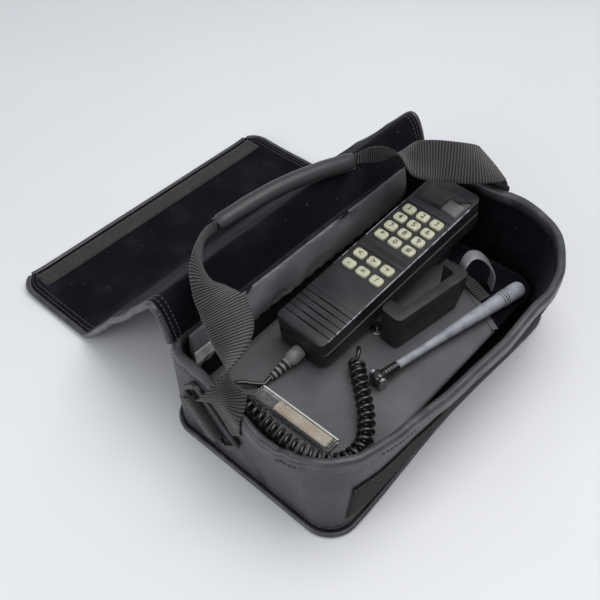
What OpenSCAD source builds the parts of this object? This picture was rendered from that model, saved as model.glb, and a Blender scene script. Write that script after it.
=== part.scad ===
// Cellular bag phone: a soft board-lined bag with a three-fold lid and a carry strap, holding a
// handset on a curly cord, a transceiver, a battery, a hang-up cup and a fold-down antenna.
// Millimetres. X runs along the hinge line, +Y to the lid, +Z up. The origin is at the middle
// of the base, on the surface that the bag stands on. The lid is drawn open, as it lies at rest.

/* [Bag] */
// Length of the base, along the hinge line
bag_length = 345; // [325:1:380]
// Width of the base, hinge side to front
bag_width = 185; // [175:1:200]
// Height of the walls, up to the rim binding
wall_height = 98; // [92:1:104]
// Thickness of the padded board walls
wall = 6; // [4:0.5:7]
// Radius of the corners at the base
base_corner_r = 23; // [15:1:28]
// Radius of the base's front right corner, which has gone slack
base_slack_r = 43; // [15:1:48]
// Radius of the rim's front left corner
rim_left_r = 46; // [30:1:60]
// Radius of the rim's slack front right corner
rim_right_r = 92; // [40:1:100]
// Radius of the two rim corners at the hinge side
rim_back_r = 24; // [15:1:30]
// How far the slack front rim stands out at its right end
front_slack = 19.5; // [0:0.5:22]
// How far the rim of the right end stands out
right_slack = 0.5; // [0:0.5:6]
// How far the rim of the left end stands out at its front corner
left_bulge = 7; // [0:0.5:8]
// Thickness of the base board
base_board = 4; // [2:0.5:6]
// Width of the binding folded over the rim
binding_width = 8; // [7.5:0.5:10]
// Height of the binding above the walls
binding_height = 5.2; // [3:0.2:7]
// Diameter of the piping round the base
piping_d = 5; // [3:0.5:6]
// Height of the loop strip on the front
loop_strip_height = 45; // [25:1:50]
// Height of the gathered band on the inner back wall
gathered_height = 46; // [30:1:50]

/* [Lid] */
// Width of the lid, along the hinge line
lid_width = 344; // [320:1:350]
// Thickness of the padded lid boards
lid_board = 5; // [4:0.5:5]
// Length of the rear fold, next to the hinge
rear_fold = 31; // [28:1:34]
// Length of the drop flap that closes over the front
drop_flap = 109; // [80:1:110]
// Radius of the drop flap's corners
flap_corner_r = 24; // [10:1:40]
// Width of the hook strip sewn in the drop flap
hook_strip_width = 20; // [12:1:30]

/* [Strap] */
// Width of the strap webbing
webbing_width = 38; // [25:1:42]
// Thickness of the strap webbing
webbing = 2; // [1.2:0.1:2.5]
// Diameter of the wrapped grip
grip_d = 16; // [12:0.5:18]
// Diameter of the wire of the strap rings
ring_wire = 5; // [3.5:0.5:6]
// Clear length of the slot in a strap ring
ring_slot = 56; // [46:1:60]

/* [Contents] */
// Height of the transceiver and of the battery pack
unit_height = 33; // [28:1:34]
// Length of the transceiver
transceiver_length = 230; // [215:1:240]
// Width of the transceiver
transceiver_width = 140; // [130:1:148]
// Wall of the transceiver's case
case_wall = 2.5; // [2:0.5:4]
// Length of the battery pack
battery_length = 118; // [100:1:125]
// Width of the battery pack
battery_width = 62; // [50:1:64]
// Thickness of the inner cover sheet
cover_sheet = 3; // [2:0.5:3.5]
// Length of the hang-up cup
cup_length = 92; // [80:1:94]
// Height of the hang-up cup
cup_height = 37; // [30:1:40]
// Length of the clear card holder
card_holder_length = 84; // [70:1:86]

/* [Handset] */
// Length of the handset
handset_length = 226; // [220:1:228]
// Width of the handset at its seam
handset_width = 58; // [56:0.5:60]
// Height of the rear shell, up to the seam
rear_shell_height = 19; // [18:0.5:20]
// Height of the front shell above the seam
front_shell_height = 15; // [14.5:0.5:16]
// Wall of the two shells
shell_wall = 2.5; // [2:0.1:3]
// Length of a key, across the handset
key_length = 12.6; // [10:0.2:13.4]
// Width of a key, along the handset
key_width = 9.6; // [8:0.2:11.4]
// Height of a key above the panel round it
key_rise = 2.8; // [1.5:0.1:3]
// Travel of a key
key_travel = 0.8; // [0.4:0.1:1]
// Gap between a key and its hole
key_gap = 0.3; // [0.2:0.05:0.5]
// Distance between key rows in the number group
number_pitch = 13.6; // [12.6:0.1:14]
// Distance between key rows in the function group
function_pitch = 15; // [13:0.1:15]
// Distance between key columns
column_pitch = 16.1; // [14.6:0.1:17]
// Length of the display window, across the handset
window_length = 50; // [44:1:51]
// Width of the display window, along the handset
window_width = 26; // [20:1:27]

/* [Cord and antenna] */
// Diameter of the curly cord's cable
cord_d = 4; // [3:0.1:4.1]
// Diameter of the curls, to the middle of the cable
curl_d = 12; // [10:0.5:13]
// Number of curls
curls = 29; // [20:1:30]
// Diameter of the antenna's thin root
antenna_root_d = 7.6; // [6:0.2:9]
// Diameter of the antenna's thick end
antenna_end_d = 16; // [12:0.5:16]
// Length of the antenna, from its hinge
antenna_length = 178; // [150:1:180]
// Diameter of the antenna's hinge pin
hinge_pin_d = 4; // [3:0.5:5]

/* [Hidden] */

$fn = 48;
hair = 0.3;          // running gap between neighbours that don't carry each other
over = 1;            // how far a cutting body runs past the face that it cuts

// colours
leatherette = [0.13, 0.13, 0.14];
binding_black = [0.08, 0.08, 0.09];
velour = [0.07, 0.08, 0.12];
hook_brown = [0.16, 0.13, 0.12];
webbing_grey = [0.17, 0.16, 0.16];
casing_black = [0.09, 0.09, 0.1];
key_cream = [0.86, 0.84, 0.74];
boot_grey = [0.33, 0.34, 0.36];
antenna_grey = [0.45, 0.48, 0.54];
metal = [0.62, 0.62, 0.64];
board_green = [0.1, 0.32, 0.2];
card_cream = [0.85, 0.78, 0.68];
clear = [0.8, 0.85, 0.9, 0.4];

// ---- small helpers -------------------------------------------------------------------------

function lerp(a, b, t) = a + (b - a) * t;
function unit(v) = v / norm(v);
function last(list) = len(list) - 1;

// a rounded rectangle with true arcs, centred
module rounded(l, w, r) {
    square([l - 2 * r, w], center = true);
    square([l, w - 2 * r], center = true);
    for (x = [-1, 1], y = [-1, 1])
        translate([x * (l / 2 - r), y * (w / 2 - r)]) circle(r);
}

// a plate with that outline
module plate(l, w, r, h) {
    linear_extrude(h) rounded(l, w, r);
}

// the triangles of a closed grid of rings, each with n points, capped at both ends
function grid_sides(rings, n) = [
    for (i = [0 : rings - 2], k = [0 : n - 1])
        let (a = i * n + k, b = i * n + (k + 1) % n)
            each [[a, b, b + n], [a, b + n, a + n]]
];
function grid_caps(rings, n) = [
    for (k = [1 : n - 2])
        each [[0, k + 1, k], [(rings - 1) * n, (rings - 1) * n + k, (rings - 1) * n + k + 1]]
];

// a closed solid through a list of rings, each with the same number of points
module swept(rings) {
    n = len(rings[0]);
    polyhedron(
        points = [for (ring = rings) each ring],
        faces = concat(grid_sides(len(rings), n), grid_caps(len(rings), n))
    );
}

// the direction of a line of points at each of them
function directions(p) = [
    for (i = [0 : last(p)]) unit(p[min(i + 1, last(p))] - p[max(i - 1, 0)])
];

// what is left of v when its part along t is taken away
function across(v, t) = unit(v - (v * t) * t);

// a side vector carried along the directions t without twisting
function carried(t, start) = [
    for (i = 0, v = across(start, t[0]); i <= last(t); i = i + 1,
         v = across(v, t[min(i, last(t))])) v
];

// rings of a round tube along points p, of radius r, with a number of sides
function round_rings(p, r, sides, start = [0, 0, 1]) =
    let (t = directions(p), v = carried(t, start))
    [
        for (i = [0 : last(p)])
            let (w = cross(t[i], v[i]))
                [
                    for (k = [0 : sides - 1])
                        let (a = -360 * k / sides)
                            p[i] + r * (cos(a) * v[i] + sin(a) * w)
                ]
    ];

// rings of a flat ribbon along points p, with its width along the vectors wide
function ribbon_rings(p, wide, width, thick) =
    let (t = directions(p))
    [
        for (i = [0 : last(p)])
            let (w = across(wide[i], t[i]), n = cross(t[i], w))
                [
                    for (c = [[1, 1], [1, -1], [-1, -1], [-1, 1]])
                        p[i] + c[0] * width / 2 * w + c[1] * thick / 2 * n
                ]
    ];

// a smooth line through hand-chosen points: a Catmull-Rom curve, read at u from 0 to last(p)
function smooth_at(p, u) =
    let (
        i = min(floor(u), last(p) - 1),
        f = u - i,
        a = p[max(i - 1, 0)],
        b = p[i],
        c = p[i + 1],
        d = p[min(i + 2, last(p))]
    )
    0.5 * (2 * b + (c - a) * f + (2 * a - 5 * b + 4 * c - d) * f * f
           + (3 * b - a - 3 * c + d) * f * f * f);
function smooth(p, steps) = [for (i = [0 : steps]) smooth_at(p, i * last(p) / steps)];

// ---- the bag's outline ---------------------------------------------------------------------

// The outline is four corner arcs joined by straight sides, and the arcs grow from the base to
// the rim. Corners are counted from the front left one, against the clock.
corner_steps = 8;
side_steps = 6;
side_points = corner_steps + side_steps;
outline_points = 4 * side_points;
half_corner = corner_steps / 2;
left_slack = 0.5;
left_front_slack = 5;
base_radii = [base_corner_r, base_slack_r, base_corner_r, base_corner_r];
rim_radii = [rim_left_r, rim_right_r, rim_back_r, rim_back_r];
slack_x = [left_bulge, right_slack, right_slack, left_slack];
slack_y = [left_front_slack, front_slack, 0, 0];
corner_x = [-1, 1, 1, -1];
corner_y = [-1, -1, 1, 1];

// the centre and radius of corner c at height z
function corner_at(c, z) =
    let (h = z / wall_height, r = lerp(base_radii[c], rim_radii[c], h))
    [
        corner_x[c] * (bag_length / 2 + h * slack_x[c] - r),
        corner_y[c] * (bag_width / 2 + h * slack_y[c] - r),
        r
    ];

// a point on the arc of corner c at angle a, out from the wall's outer face by out
function arc_point(c, a, z, out) =
    let (k = corner_at(c % 4, z))
    [k[0] + (k[2] + out) * cos(a), k[1] + (k[2] + out) * sin(a), z];

// point i of the outline at height z
function outline_point(i, z, out = 0) =
    let (
        j = i % outline_points,
        c = floor(j / side_points),
        k = j % side_points,
        end = 270 + 90 * c
    )
    k <= corner_steps
        ? arc_point(c, end - 90 + 90 * k / corner_steps, z, out)
        : lerp(arc_point(c, end, z, out), arc_point(c + 1, end, z, out),
               (k - corner_steps) / side_steps);

// a curved panel between two outline points, two heights and two offsets from the wall's face
module panel(first, final, z0, z1, inner, outer, rows = 4) {
    columns = final - first + 1;
    swept([
        for (i = [0 : columns - 1])
            concat(
                [for (j = [0 : rows]) outline_point(first + i, lerp(z0, z1, j / rows), outer)],
                [for (j = [rows : -1 : 0]) outline_point(first + i, lerp(z0, z1, j / rows), inner)]
            )
    ]);
}

// a closed band round the bag: section holds [out, up] pairs, against the clock from outside.
// It stands upright from height z, or leans as the walls do.
module outline_band(section, z, leaning = false) {
    n = len(section);
    polyhedron(
        points = [
            for (i = [0 : outline_points - 1], s = section)
                leaning
                    ? outline_point(i, z + s[1], s[0])
                    : outline_point(i, z, s[0]) + [0, 0, s[1]]
        ],
        faces = [
            for (i = [0 : outline_points - 1], k = [0 : n - 1])
                let (
                    a = i * n + k,
                    b = i * n + (k + 1) % n,
                    c = ((i + 1) % outline_points) * n + (k + 1) % n,
                    d = ((i + 1) % outline_points) * n + k
                )
                each [[a, b, c], [a, c, d]]
        ]
    );
}

// ---- the bag -------------------------------------------------------------------------------

// the four wall panels meet in a seam at the middle of each corner
module front_wall() {
    color(leatherette)
        panel(half_corner, side_points + half_corner, 0, wall_height, -wall, 0);
}

module right_end() {
    color(leatherette)
        panel(side_points + half_corner, 2 * side_points + half_corner, 0, wall_height, -wall, 0);
}

module back_wall() {
    color(leatherette)
        panel(2 * side_points + half_corner, 3 * side_points + half_corner, 0, wall_height,
              -wall, 0);
}

module left_end() {
    color(leatherette)
        panel(3 * side_points + half_corner, 4 * side_points + half_corner, 0, wall_height,
              -wall, 0);
}

module base_panel() {
    color(leatherette)
        linear_extrude(base_board)
            polygon([
                for (i = [0 : outline_points - 1])
                    let (p = outline_point(i, 0, -wall - hair))
                    [p[0], p[1]]
            ]);
}

// tape folded over the rim, drawn as its part above the walls
module rim_binding() {
    proud = (binding_width - wall) / 2;
    bevel = binding_height / 4;
    color(binding_black)
        outline_band([
            [proud, 0],
            [proud, binding_height - bevel],
            [proud - bevel, binding_height],
            [bevel - proud - wall, binding_height],
            [-proud - wall, binding_height - bevel],
            [-proud - wall, 0]
        ], wall_height);
}

module bottom_piping() {
    r = piping_d / 2;
    color(binding_black)
        outline_band([
            for (k = [0 : 5]) [r + hair / 2 + r * cos(60 * k), r + hair + r * sin(60 * k)]
        ], 0, leaning = true);
}

// soft loop strip on the front, which the lid's hook strip grips
loop_strip_z = 20;
loop_strip_t = 2;
strip_reach = 2;     // outline steps that the strip goes round each front corner
module loop_strip() {
    color(binding_black)
        panel(corner_steps - strip_reach, side_points + strip_reach, loop_strip_z,
              loop_strip_z + loop_strip_height, 0, loop_strip_t, 2);
}

// gathered leatherette sewn along the inside of the back wall
gathered_t = 2.5;
module gathered_band() {
    top = wall_height - 2;
    color(leatherette)
        panel(2 * side_points + corner_steps, 3 * side_points, top - gathered_height, top,
              -wall - gathered_t, -wall, 2);
}

// ---- transceiver, battery and their cover ---------------------------------------------------

unit_top = base_board + unit_height;
cover_top = unit_top + cover_sheet;
unit_gap = 8;        // between the battery and the transceiver
units_middle = -2;   // middle of the two units together
transceiver_x = units_middle + (battery_width + unit_gap) / 2;
battery_x = transceiver_x - transceiver_length / 2 - unit_gap - battery_width / 2;
case_r = 5;
case_top_h = 7;
case_post_r = 4.5;
case_screw_r = 1.5;
case_head_r = 3;
case_head_h = 2.4;
socket_at = [-49, -38];
gland_at = [-38, -7];

// the inside of the transceiver's case, as a solid
module case_hollow(h) {
    plate(transceiver_length - 2 * case_wall, transceiver_width - 2 * case_wall,
          case_r - case_wall / 2, h);
}

module at_case_posts() {
    inset = case_wall + case_post_r + 1;
    for (x = [-1, 1], y = [-1, 1])
        translate([x * (transceiver_length / 2 - inset), y * (transceiver_width / 2 - inset), 0])
            children();
}

module transceiver_case() {
    h = unit_height - case_top_h;
    color(casing_black)
        translate([transceiver_x, 0, base_board])
            difference() {
                plate(transceiver_length, transceiver_width, case_r, h);
                difference() {
                    translate([0, 0, case_wall]) case_hollow(h);
                    at_case_posts() cylinder(h, r = case_post_r);
                }
                at_case_posts() {
                    translate([0, 0, -over]) cylinder(h + 2 * over, r = case_screw_r + 0.2);
                    translate([0, 0, -over])
                        cylinder(case_head_h + hair + over, r = case_head_r + 0.2);
                }
            }
}

module transceiver_top() {
    color(casing_black)
        translate([transceiver_x, 0, unit_top - case_top_h])
            difference() {
                plate(transceiver_length, transceiver_width, case_r, case_top_h);
                difference() {
                    translate([0, 0, -over]) case_hollow(case_top_h - case_wall + over);
                    at_case_posts() cylinder(case_top_h, r = case_post_r);
                }
                at_case_posts()
                    translate([0, 0, -over])
                        cylinder(case_top_h - 1 + over, r = case_screw_r + pin_gap);
            }
}

// four screws from below, with their heads sunk in the case
module case_screws() {
    color(metal)
        translate([transceiver_x, 0, base_board])
            at_case_posts() {
                translate([0, 0, hair]) cylinder(case_head_h, r = case_head_r);
                translate([0, 0, hair])
                    cylinder(unit_height - 3 - hair, r = case_screw_r);
            }
}

// the transceiver's board stands on four pillars of its own
module circuit_board() {
    board_l = transceiver_length - 30;
    board_w = transceiver_width - 20;
    pillar = 8;
    color(board_green)
        translate([transceiver_x, 0, base_board + case_wall]) {
            translate([0, 0, pillar]) plate(board_l, board_w, 2, board_t);
            for (x = [-1, 1], y = [-1, 1])
                translate([x * (board_l / 2 - 6), y * (board_w / 2 - 6)]) cylinder(pillar, r = 3);
        }
}

module battery_pack() {
    color(casing_black)
        translate([battery_x, 0, base_board])
            plate(battery_width, battery_length, 4, unit_height);
}

// a leatherette sheet over both units, with holes for the antenna socket and the cord gland
cover_length = 308;
cover_width = 160;
cover_corner = 24;
cover_x = -4;
cover_y = -1;
socket_r = 7;
gland_r = 4.5;
module inner_cover() {
    color(leatherette)
        translate([0, 0, unit_top])
            difference() {
                translate([cover_x, cover_y]) plate(cover_length, cover_width, cover_corner,
                                                    cover_sheet);
                translate([socket_at[0], socket_at[1], -over])
                    cylinder(cover_sheet + 2 * over, r = socket_r + hair);
                translate([gland_at[0], gland_at[1], -over])
                    cylinder(cover_sheet + 2 * over, r = gland_r + hair);
            }
}

// a rolled card in its clear sleeve, which lies along the left end
holder_x = -125;
holder_y = -10;
holder_width = 16;
holder_height = 7;
holder_wall = 0.8;
module card_holder() {
    color(clear)
        translate([holder_x, holder_y, cover_top])
            rotate([90, 0, 0])
                translate([0, holder_height / 2, -card_holder_length / 2])
                    difference() {
                        plate(holder_width, holder_height, 3, card_holder_length);
                        translate([0, 0, -over])
                            plate(holder_width - 2 * holder_wall, holder_height - 2 * holder_wall,
                                  3 - holder_wall, card_holder_length + 2 * over);
                    }
}

module card() {
    room = holder_wall + 0.1;
    color(card_cream)
        translate([holder_x, holder_y, cover_top])
            rotate([90, 0, 0])
                translate([0, holder_height / 2, 4 - card_holder_length / 2])
                    plate(holder_width - 2 * room, holder_height - 2 * room, 3 - room,
                          card_holder_length - 8);
}

// the moulded cup that takes the handset in a car, lying beside the handset
cup_at = [-9, -27];
cup_turn = -8.3;
cup_depth = 24;
cup_front = 10;      // width of the cup's front ledge
cup_left = 14;
cup_right = 10;
cup_floor = 6;
cup_lip = 6;         // height of the square-cut top of the right end
cup_undercut = 24;   // slope of the right end below it
module hang_up_cup() {
    pocket_length = cup_length - cup_left - cup_right;
    pocket_r = 4;
    color(casing_black)
        translate([cup_at[0], cup_at[1], cover_top])
            rotate(cup_turn)
                difference() {
                    translate([cup_length / 2, cup_depth / 2])
                        plate(cup_length, cup_depth, 6, cup_height);
                    // the pocket is open towards the handset
                    translate([cup_left + pocket_length / 2, cup_front + cup_depth, cup_floor])
                        plate(pocket_length, 2 * cup_depth, pocket_r, cup_height);
                    translate([cup_length, -over, cup_height - cup_lip])
                        rotate([0, cup_undercut, 0])
                            translate([0, 0, -2 * cup_height])
                                cube([cup_length, cup_depth + 2 * over, 2 * cup_height]);
                }
}

// the band that holds the cup's lead, standing up in a loop at the right of the cup
band_width = 12;
band_t = 2;
band_path = [
    [92, -26, cover_top], [92, -26, 56], [94, -26, 70], [101, -28, 78], [108, -34, 77],
    [113, -42, 68], [114, -48, 56], [114, -48, cover_top]
];
module retaining_band() {
    color(leatherette)
        swept(ribbon_rings(smooth(band_path, 14), [for (i = [0 : 14]) [0.7, 0.9, 0]],
                           band_width, band_t));
}

// ---- antenna -------------------------------------------------------------------------------

antenna_turn = -11.6;
antenna_z = cover_top + antenna_end_d / 2 + hair;
knuckle_r = 6;
knuckle_w = 9;
ear_t = 2.5;
pin_gap = 0.06;

// places its children at the antenna's hinge, with +X along the antenna
module at_antenna() {
    translate([socket_at[0], socket_at[1], antenna_z]) rotate(antenna_turn) children();
}

module antenna_socket() {
    ear_out = knuckle_w / 2 + hair + ear_t;
    color(metal) {
        difference() {
            union() {
                translate([socket_at[0], socket_at[1], unit_top])
                    cylinder(cover_sheet + 1, r = socket_r);
                intersection() {
                    translate([socket_at[0], socket_at[1], unit_top])
                        cylinder(60, r = socket_r + 1);
                    at_antenna()
                        for (side = [-1, 1])
                            translate([0, side * (ear_out - ear_t / 2), 0]) {
                                rotate([90, 0, 0]) cylinder(ear_t, r = 4, center = true);
                                translate([-4, -ear_t / 2, unit_top + cover_sheet - antenna_z])
                                    cube([8, ear_t, antenna_z - unit_top - cover_sheet]);
                            }
                }
            }
            at_antenna()
                rotate([90, 0, 0])
                    cylinder(30, d = hinge_pin_d + 2 * pin_gap, center = true);
        }
    }
}

elbow_reach = 22;
elbow_ribs = 5;
module antenna_elbow() {
    color(casing_black)
        at_antenna() {
            rotate([90, 0, 0]) cylinder(knuckle_w, r = knuckle_r, center = true);
            rotate([90, 0, 0])
                cylinder(knuckle_w + 2 * (hair + ear_t), d = hinge_pin_d, center = true);
            rotate([0, 90, 0])
                rotate_extrude()
                    polygon(concat(
                        [[0, 0]],
                        [
                            for (k = [0 : elbow_ribs - 1])
                                let (z = 6 + k * (elbow_reach - 6) / elbow_ribs)
                                    each [[4.2, z], [4.8, z + 0.8], [4.8, z + 2.2], [4.2, z + 3]]
                        ],
                        [[4.2, elbow_reach], [0, elbow_reach]]
                    ));
        }
}

module antenna_whip() {
    thick = antenna_end_d / 2;
    root = antenna_root_d / 2;
    taper_from = elbow_reach + 38;
    rings_at = antenna_length - 28;
    color(antenna_grey)
        at_antenna()
            rotate([0, 90, 0])
                rotate_extrude()
                    polygon([
                        [0, elbow_reach],
                        [root, elbow_reach],
                        [root, taper_from],
                        [thick * 0.93, rings_at],
                        for (k = [0 : 2]) each [
                            [thick * 0.93, rings_at + 3 * k],
                            [thick, rings_at + 3 * k + 0.7],
                            [thick, rings_at + 3 * k + 1.6],
                            [thick * 0.93, rings_at + 3 * k + 2.3]
                        ],
                        [thick, rings_at + 12],
                        [thick, antenna_length - 5],
                        [thick * 0.8, antenna_length - 1.5],
                        [thick * 0.4, antenna_length],
                        [0, antenna_length]
                    ]);
}

// ---- handset -------------------------------------------------------------------------------

handset_place = [-73, 33.8];
handset_tilt = 8;
handset_turn = -2.8;
handset_height = rear_shell_height + front_shell_height;
nose_x = 4;
handset_end = nose_x + handset_length;
handset_middle = nose_x + handset_length / 2;
seat_gap = 0.05;     // the handset lies this far above the cover
handset_at = [handset_place[0], handset_place[1],
              cover_top + seat_gap - nose_x * sin(handset_tilt)];
shell_r = 8;
side_step = 1;       // how much narrower each side of the front shell is than the seam
panel_sink = 0.8;    // depth of the recess round each key group
panel_level = handset_height - panel_sink;

// places its children in the handset's own frame: +X from its low end along its face, +Z up
// through the face, and z = 0 on the underside
module at_handset() {
    translate(handset_at) rotate([0, -handset_tilt, handset_turn]) children();
}

// rows and columns of the keys
number_rows = 4;
top_row_x = handset_end - 54.5;
function_rows = 2;
function_row_x = handset_end - 125.1;
function number_x(row) = top_row_x - row * number_pitch;
function function_x(row) = function_row_x - row * function_pitch;
function column_y(column) = (1 - column) * column_pitch;

// where each key lies, in the order of the rows
function number_key(i) = [number_x(floor(i / 3)), column_y(i % 3)];
function function_key_at(i) = [function_x(floor(i / 3)), column_y(i % 3)];

// each key is a stepped cap on a flange that keeps it behind its hole
key_flange = 0.8;
key_flange_side = 0.8;
key_bottom = handset_height - shell_wall - hair - key_flange;
key_r = 2.8;
key_step = 0.7;

module key_at(place) {
    full = panel_level + key_rise - key_bottom;
    color(key_cream)
        at_handset()
            translate([place[0], place[1], key_bottom]) {
                plate(key_width + 2 * key_flange_side, key_length + 2 * key_flange_side,
                      key_r + key_flange_side, key_flange);
                plate(key_width, key_length, key_r, full - key_step);
                plate(key_width - 2 * key_step, key_length - 2 * key_step, key_r - key_step,
                      full);
            }
}

// the holes for a group of keys
module key_holes(rows, x0, pitch) {
    for (row = [0 : rows - 1], column = [0 : 2])
        translate([x0 - row * pitch, column_y(column), handset_height - shell_wall - over])
            plate(key_width + 2 * key_gap, key_length + 2 * key_gap, key_r + key_gap,
                  shell_wall + 2 * over);
}

// the shallow recess round a group of keys
panel_width = 52;
module key_recess(rows, x0, pitch) {
    length = (rows - 1) * pitch + key_width + 7;
    translate([x0 - (rows - 1) * pitch / 2, 0, panel_level])
        plate(length, panel_width, 3, panel_sink + over);
}

window_x = handset_end - 24.5;
window_t = 1.4;
lcd_length = 28;
lcd_width = 16;
lcd_y = 9;
lcd_t = 2;

mouth_slots = 5;
mouth_slot_x = 17;
mouth_slot_pitch = 6.9;
mouth_slot_length = 25;
mouth_slot_w = 1.3;

post_r = 3.4;
screw_r = 1.25;
post_x = [nose_x + 22, handset_end - 7];
post_y = 21;

boot_y = -2;
boot_z = 9;
boot_plug_r = 4.6;

module at_posts() {
    for (x = post_x, y = [-1, 1])
        translate([x, y * post_y, 0]) children();
}

module handset_front() {
    inner = front_shell_height - shell_wall;
    nose_cut = 12;   // how far the bevelled nose drops below the face
    nose_back = 9;
    width = handset_width - 2 * side_step;
    color(casing_black)
        at_handset()
            difference() {
                translate([handset_middle, 0, rear_shell_height])
                    plate(handset_length, width, shell_r, front_shell_height);
                // the hollow, with the screw posts left standing
                difference() {
                    translate([handset_middle + 3, 0, rear_shell_height - over])
                        plate(handset_length - 2 * shell_wall - 10, width - 2 * shell_wall,
                              shell_r - shell_wall, inner + over);
                    at_posts() cylinder(handset_height, r = post_r);
                }
                at_posts()
                    translate([0, 0, rear_shell_height - over])
                        cylinder(8 + over, r = screw_r + pin_gap);
                // the bevelled nose
                translate([nose_x + nose_back, 0, handset_height])
                    rotate([0, -atan2(nose_cut, nose_back), 0])
                        translate([-60, -handset_width / 2, 0])
                            cube([60, handset_width, 30]);
                // chamfers along both long edges
                for (side = [-1, 1])
                    translate([handset_middle, side * width / 2, handset_height])
                        rotate([45, 0, 0])
                            cube([handset_length + 2 * over, 1.6, 1.6], center = true);
                key_recess(number_rows, top_row_x, number_pitch);
                key_recess(function_rows, function_row_x, function_pitch);
                key_holes(number_rows, top_row_x, number_pitch);
                key_holes(function_rows, function_row_x, function_pitch);
                // seat for the window, and the opening for the display behind it
                translate([window_x, 0, handset_height - window_t])
                    plate(window_width + 2 * hair, window_length + 2 * hair, 2 + hair,
                          window_t + over);
                translate([window_x, lcd_y, handset_height - shell_wall - over])
                    plate(lcd_width + 2 * hair, lcd_length + 2 * hair, 1, shell_wall);
                // the mouthpiece slots, and the fine grooves that carry them to the edges
                for (k = [0 : mouth_slots - 1])
                    translate([mouth_slot_x + k * mouth_slot_pitch, 0, handset_height]) {
                        cube([mouth_slot_w, mouth_slot_length, 4 * shell_wall], center = true);
                        cube([0.8, handset_width, 0.8], center = true);
                    }
            }
}

// the round earpiece cup under the display end also props the handset at its tilt
ear_x = handset_end - 42;
ear_cup_r = 22;
ear_cup_depth = (ear_x - ear_cup_r - nose_x) * tan(handset_tilt);
module handset_rear() {
    board_ribs = [60, handset_end - 118, handset_end - 80];
    rib_t = 2;
    head_r = 2.8;
    head_h = 2.2;
    color(casing_black)
        at_handset()
            difference() {
                union() {
                    difference() {
                        union() {
                            translate([handset_middle, 0, 0])
                                plate(handset_length, handset_width, shell_r + side_step,
                                      rear_shell_height);
                            translate([ear_x, 0, -ear_cup_depth])
                                cylinder(ear_cup_depth + 1, r = ear_cup_r);
                        }
                        difference() {
                            translate([handset_middle, 0, shell_wall])
                                plate(handset_length - 2 * shell_wall,
                                      handset_width - 2 * (shell_wall + side_step),
                                      shell_r - shell_wall, rear_shell_height);
                            at_posts() cylinder(rear_shell_height, r = post_r);
                        }
                        translate([ear_x, 0, shell_wall - ear_cup_depth])
                            cylinder(ear_cup_depth + shell_wall, r = ear_cup_r - shell_wall);
                    }
                    for (x = board_ribs)
                        translate([x, -20, shell_wall / 2])
                            cube([rib_t, 40, board_level - shell_wall / 2]);
                }
                at_posts() {
                    translate([0, 0, -over]) cylinder(handset_height, r = screw_r + 0.3);
                    translate([0, 0, -over]) cylinder(head_h + over, r = head_r + 0.2);
                }
                // socket for the cord's plug
                translate([nose_x - over, boot_y, boot_z])
                    rotate([0, 90, 0]) cylinder(shell_wall + 2 * over, r = boot_plug_r + 0.2);
                // sound holes of the earpiece
                for (a = [0 : 60 : 300])
                    translate([ear_x + 8 * cos(a), 8 * sin(a), -ear_cup_depth - over])
                        cylinder(shell_wall + 2 * over, r = 1.2);
            }
}

module handset_screws() {
    color(metal)
        at_handset()
            at_posts() {
                translate([0, 0, 0.2]) cylinder(2, r = 2.8);
                cylinder(rear_shell_height + 6, r = screw_r);
            }
}

module display_window() {
    color([0.12, 0.12, 0.13, 0.8])
        at_handset()
            translate([window_x, 0, handset_height - window_t])
                plate(window_width, window_length, 2, window_t);
}

module display_panel() {
    color([0.36, 0.38, 0.36])
        at_handset()
            translate([window_x, lcd_y, handset_height - window_t - lcd_t])
                plate(lcd_width, lcd_length, 0.8, lcd_t);
}

// stack under the keys: the mat lies on the board, and the board on the rear shell's ribs
board_t = 1.6;
mat_t = 2;
mat_top = key_bottom - key_travel - 0.2;
board_level = mat_top - mat_t - board_t;
board_x0 = nose_x + 18;
board_x1 = handset_end - 40;
module keypad_mat() {
    x1 = top_row_x + key_width / 2 + 1;
    x0 = function_row_x - function_pitch - key_width / 2 - 1;
    color([0.25, 0.25, 0.26])
        at_handset()
            translate([(x0 + x1) / 2, 0, mat_top - mat_t]) plate(x1 - x0, handset_width - 12, 2, mat_t);
}

module handset_board() {
    color(board_green)
        at_handset()
            translate([(board_x0 + board_x1) / 2, 0, board_level])
                plate(board_x1 - board_x0, handset_width - 26, 2, board_t);
}

module earpiece() {
    color(metal)
        at_handset()
            translate([ear_x, 0, shell_wall - ear_cup_depth]) {
                cylinder(6, r = ear_cup_r - shell_wall - hair);
                cylinder(8, r = 11);
            }
}

module microphone() {
    mid = mouth_slot_x + (mouth_slots - 1) / 2 * mouth_slot_pitch;
    level = board_level + board_t;
    color(metal)
        at_handset()
            translate([mid, 0, level])
                cylinder(handset_height - shell_wall - 2 - level, r = 4.5);
}

// ribbed strain relief where the curly cord enters the handset
boot_length = 38;
boot_r = 7;
module cord_boot() {
    plug_in = shell_wall + 1;
    neck = 16;
    color(boot_grey)
        at_handset()
            translate([nose_x, boot_y, boot_z])
                rotate([0, -90, 0])
                    rotate_extrude()
                        polygon([
                            [0, -plug_in],
                            [boot_plug_r, -plug_in],
                            [boot_plug_r, hair],
                            [boot_r, hair],
                            [boot_r, 10],
                            [boot_r - 1.2, neck],
                            for (k = [0 : 3]) each [
                                [4.6 - 0.45 * k, neck + 5 * k],
                                [5.4 - 0.45 * k, neck + 5 * k + 1],
                                [5.4 - 0.45 * k, neck + 5 * k + 3],
                                [4.6 - 0.45 * k, neck + 5 * k + 4]
                            ],
                            [3, boot_length],
                            [0, boot_length]
                        ]);
}

// ---- curly cord ----------------------------------------------------------------------------

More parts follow.
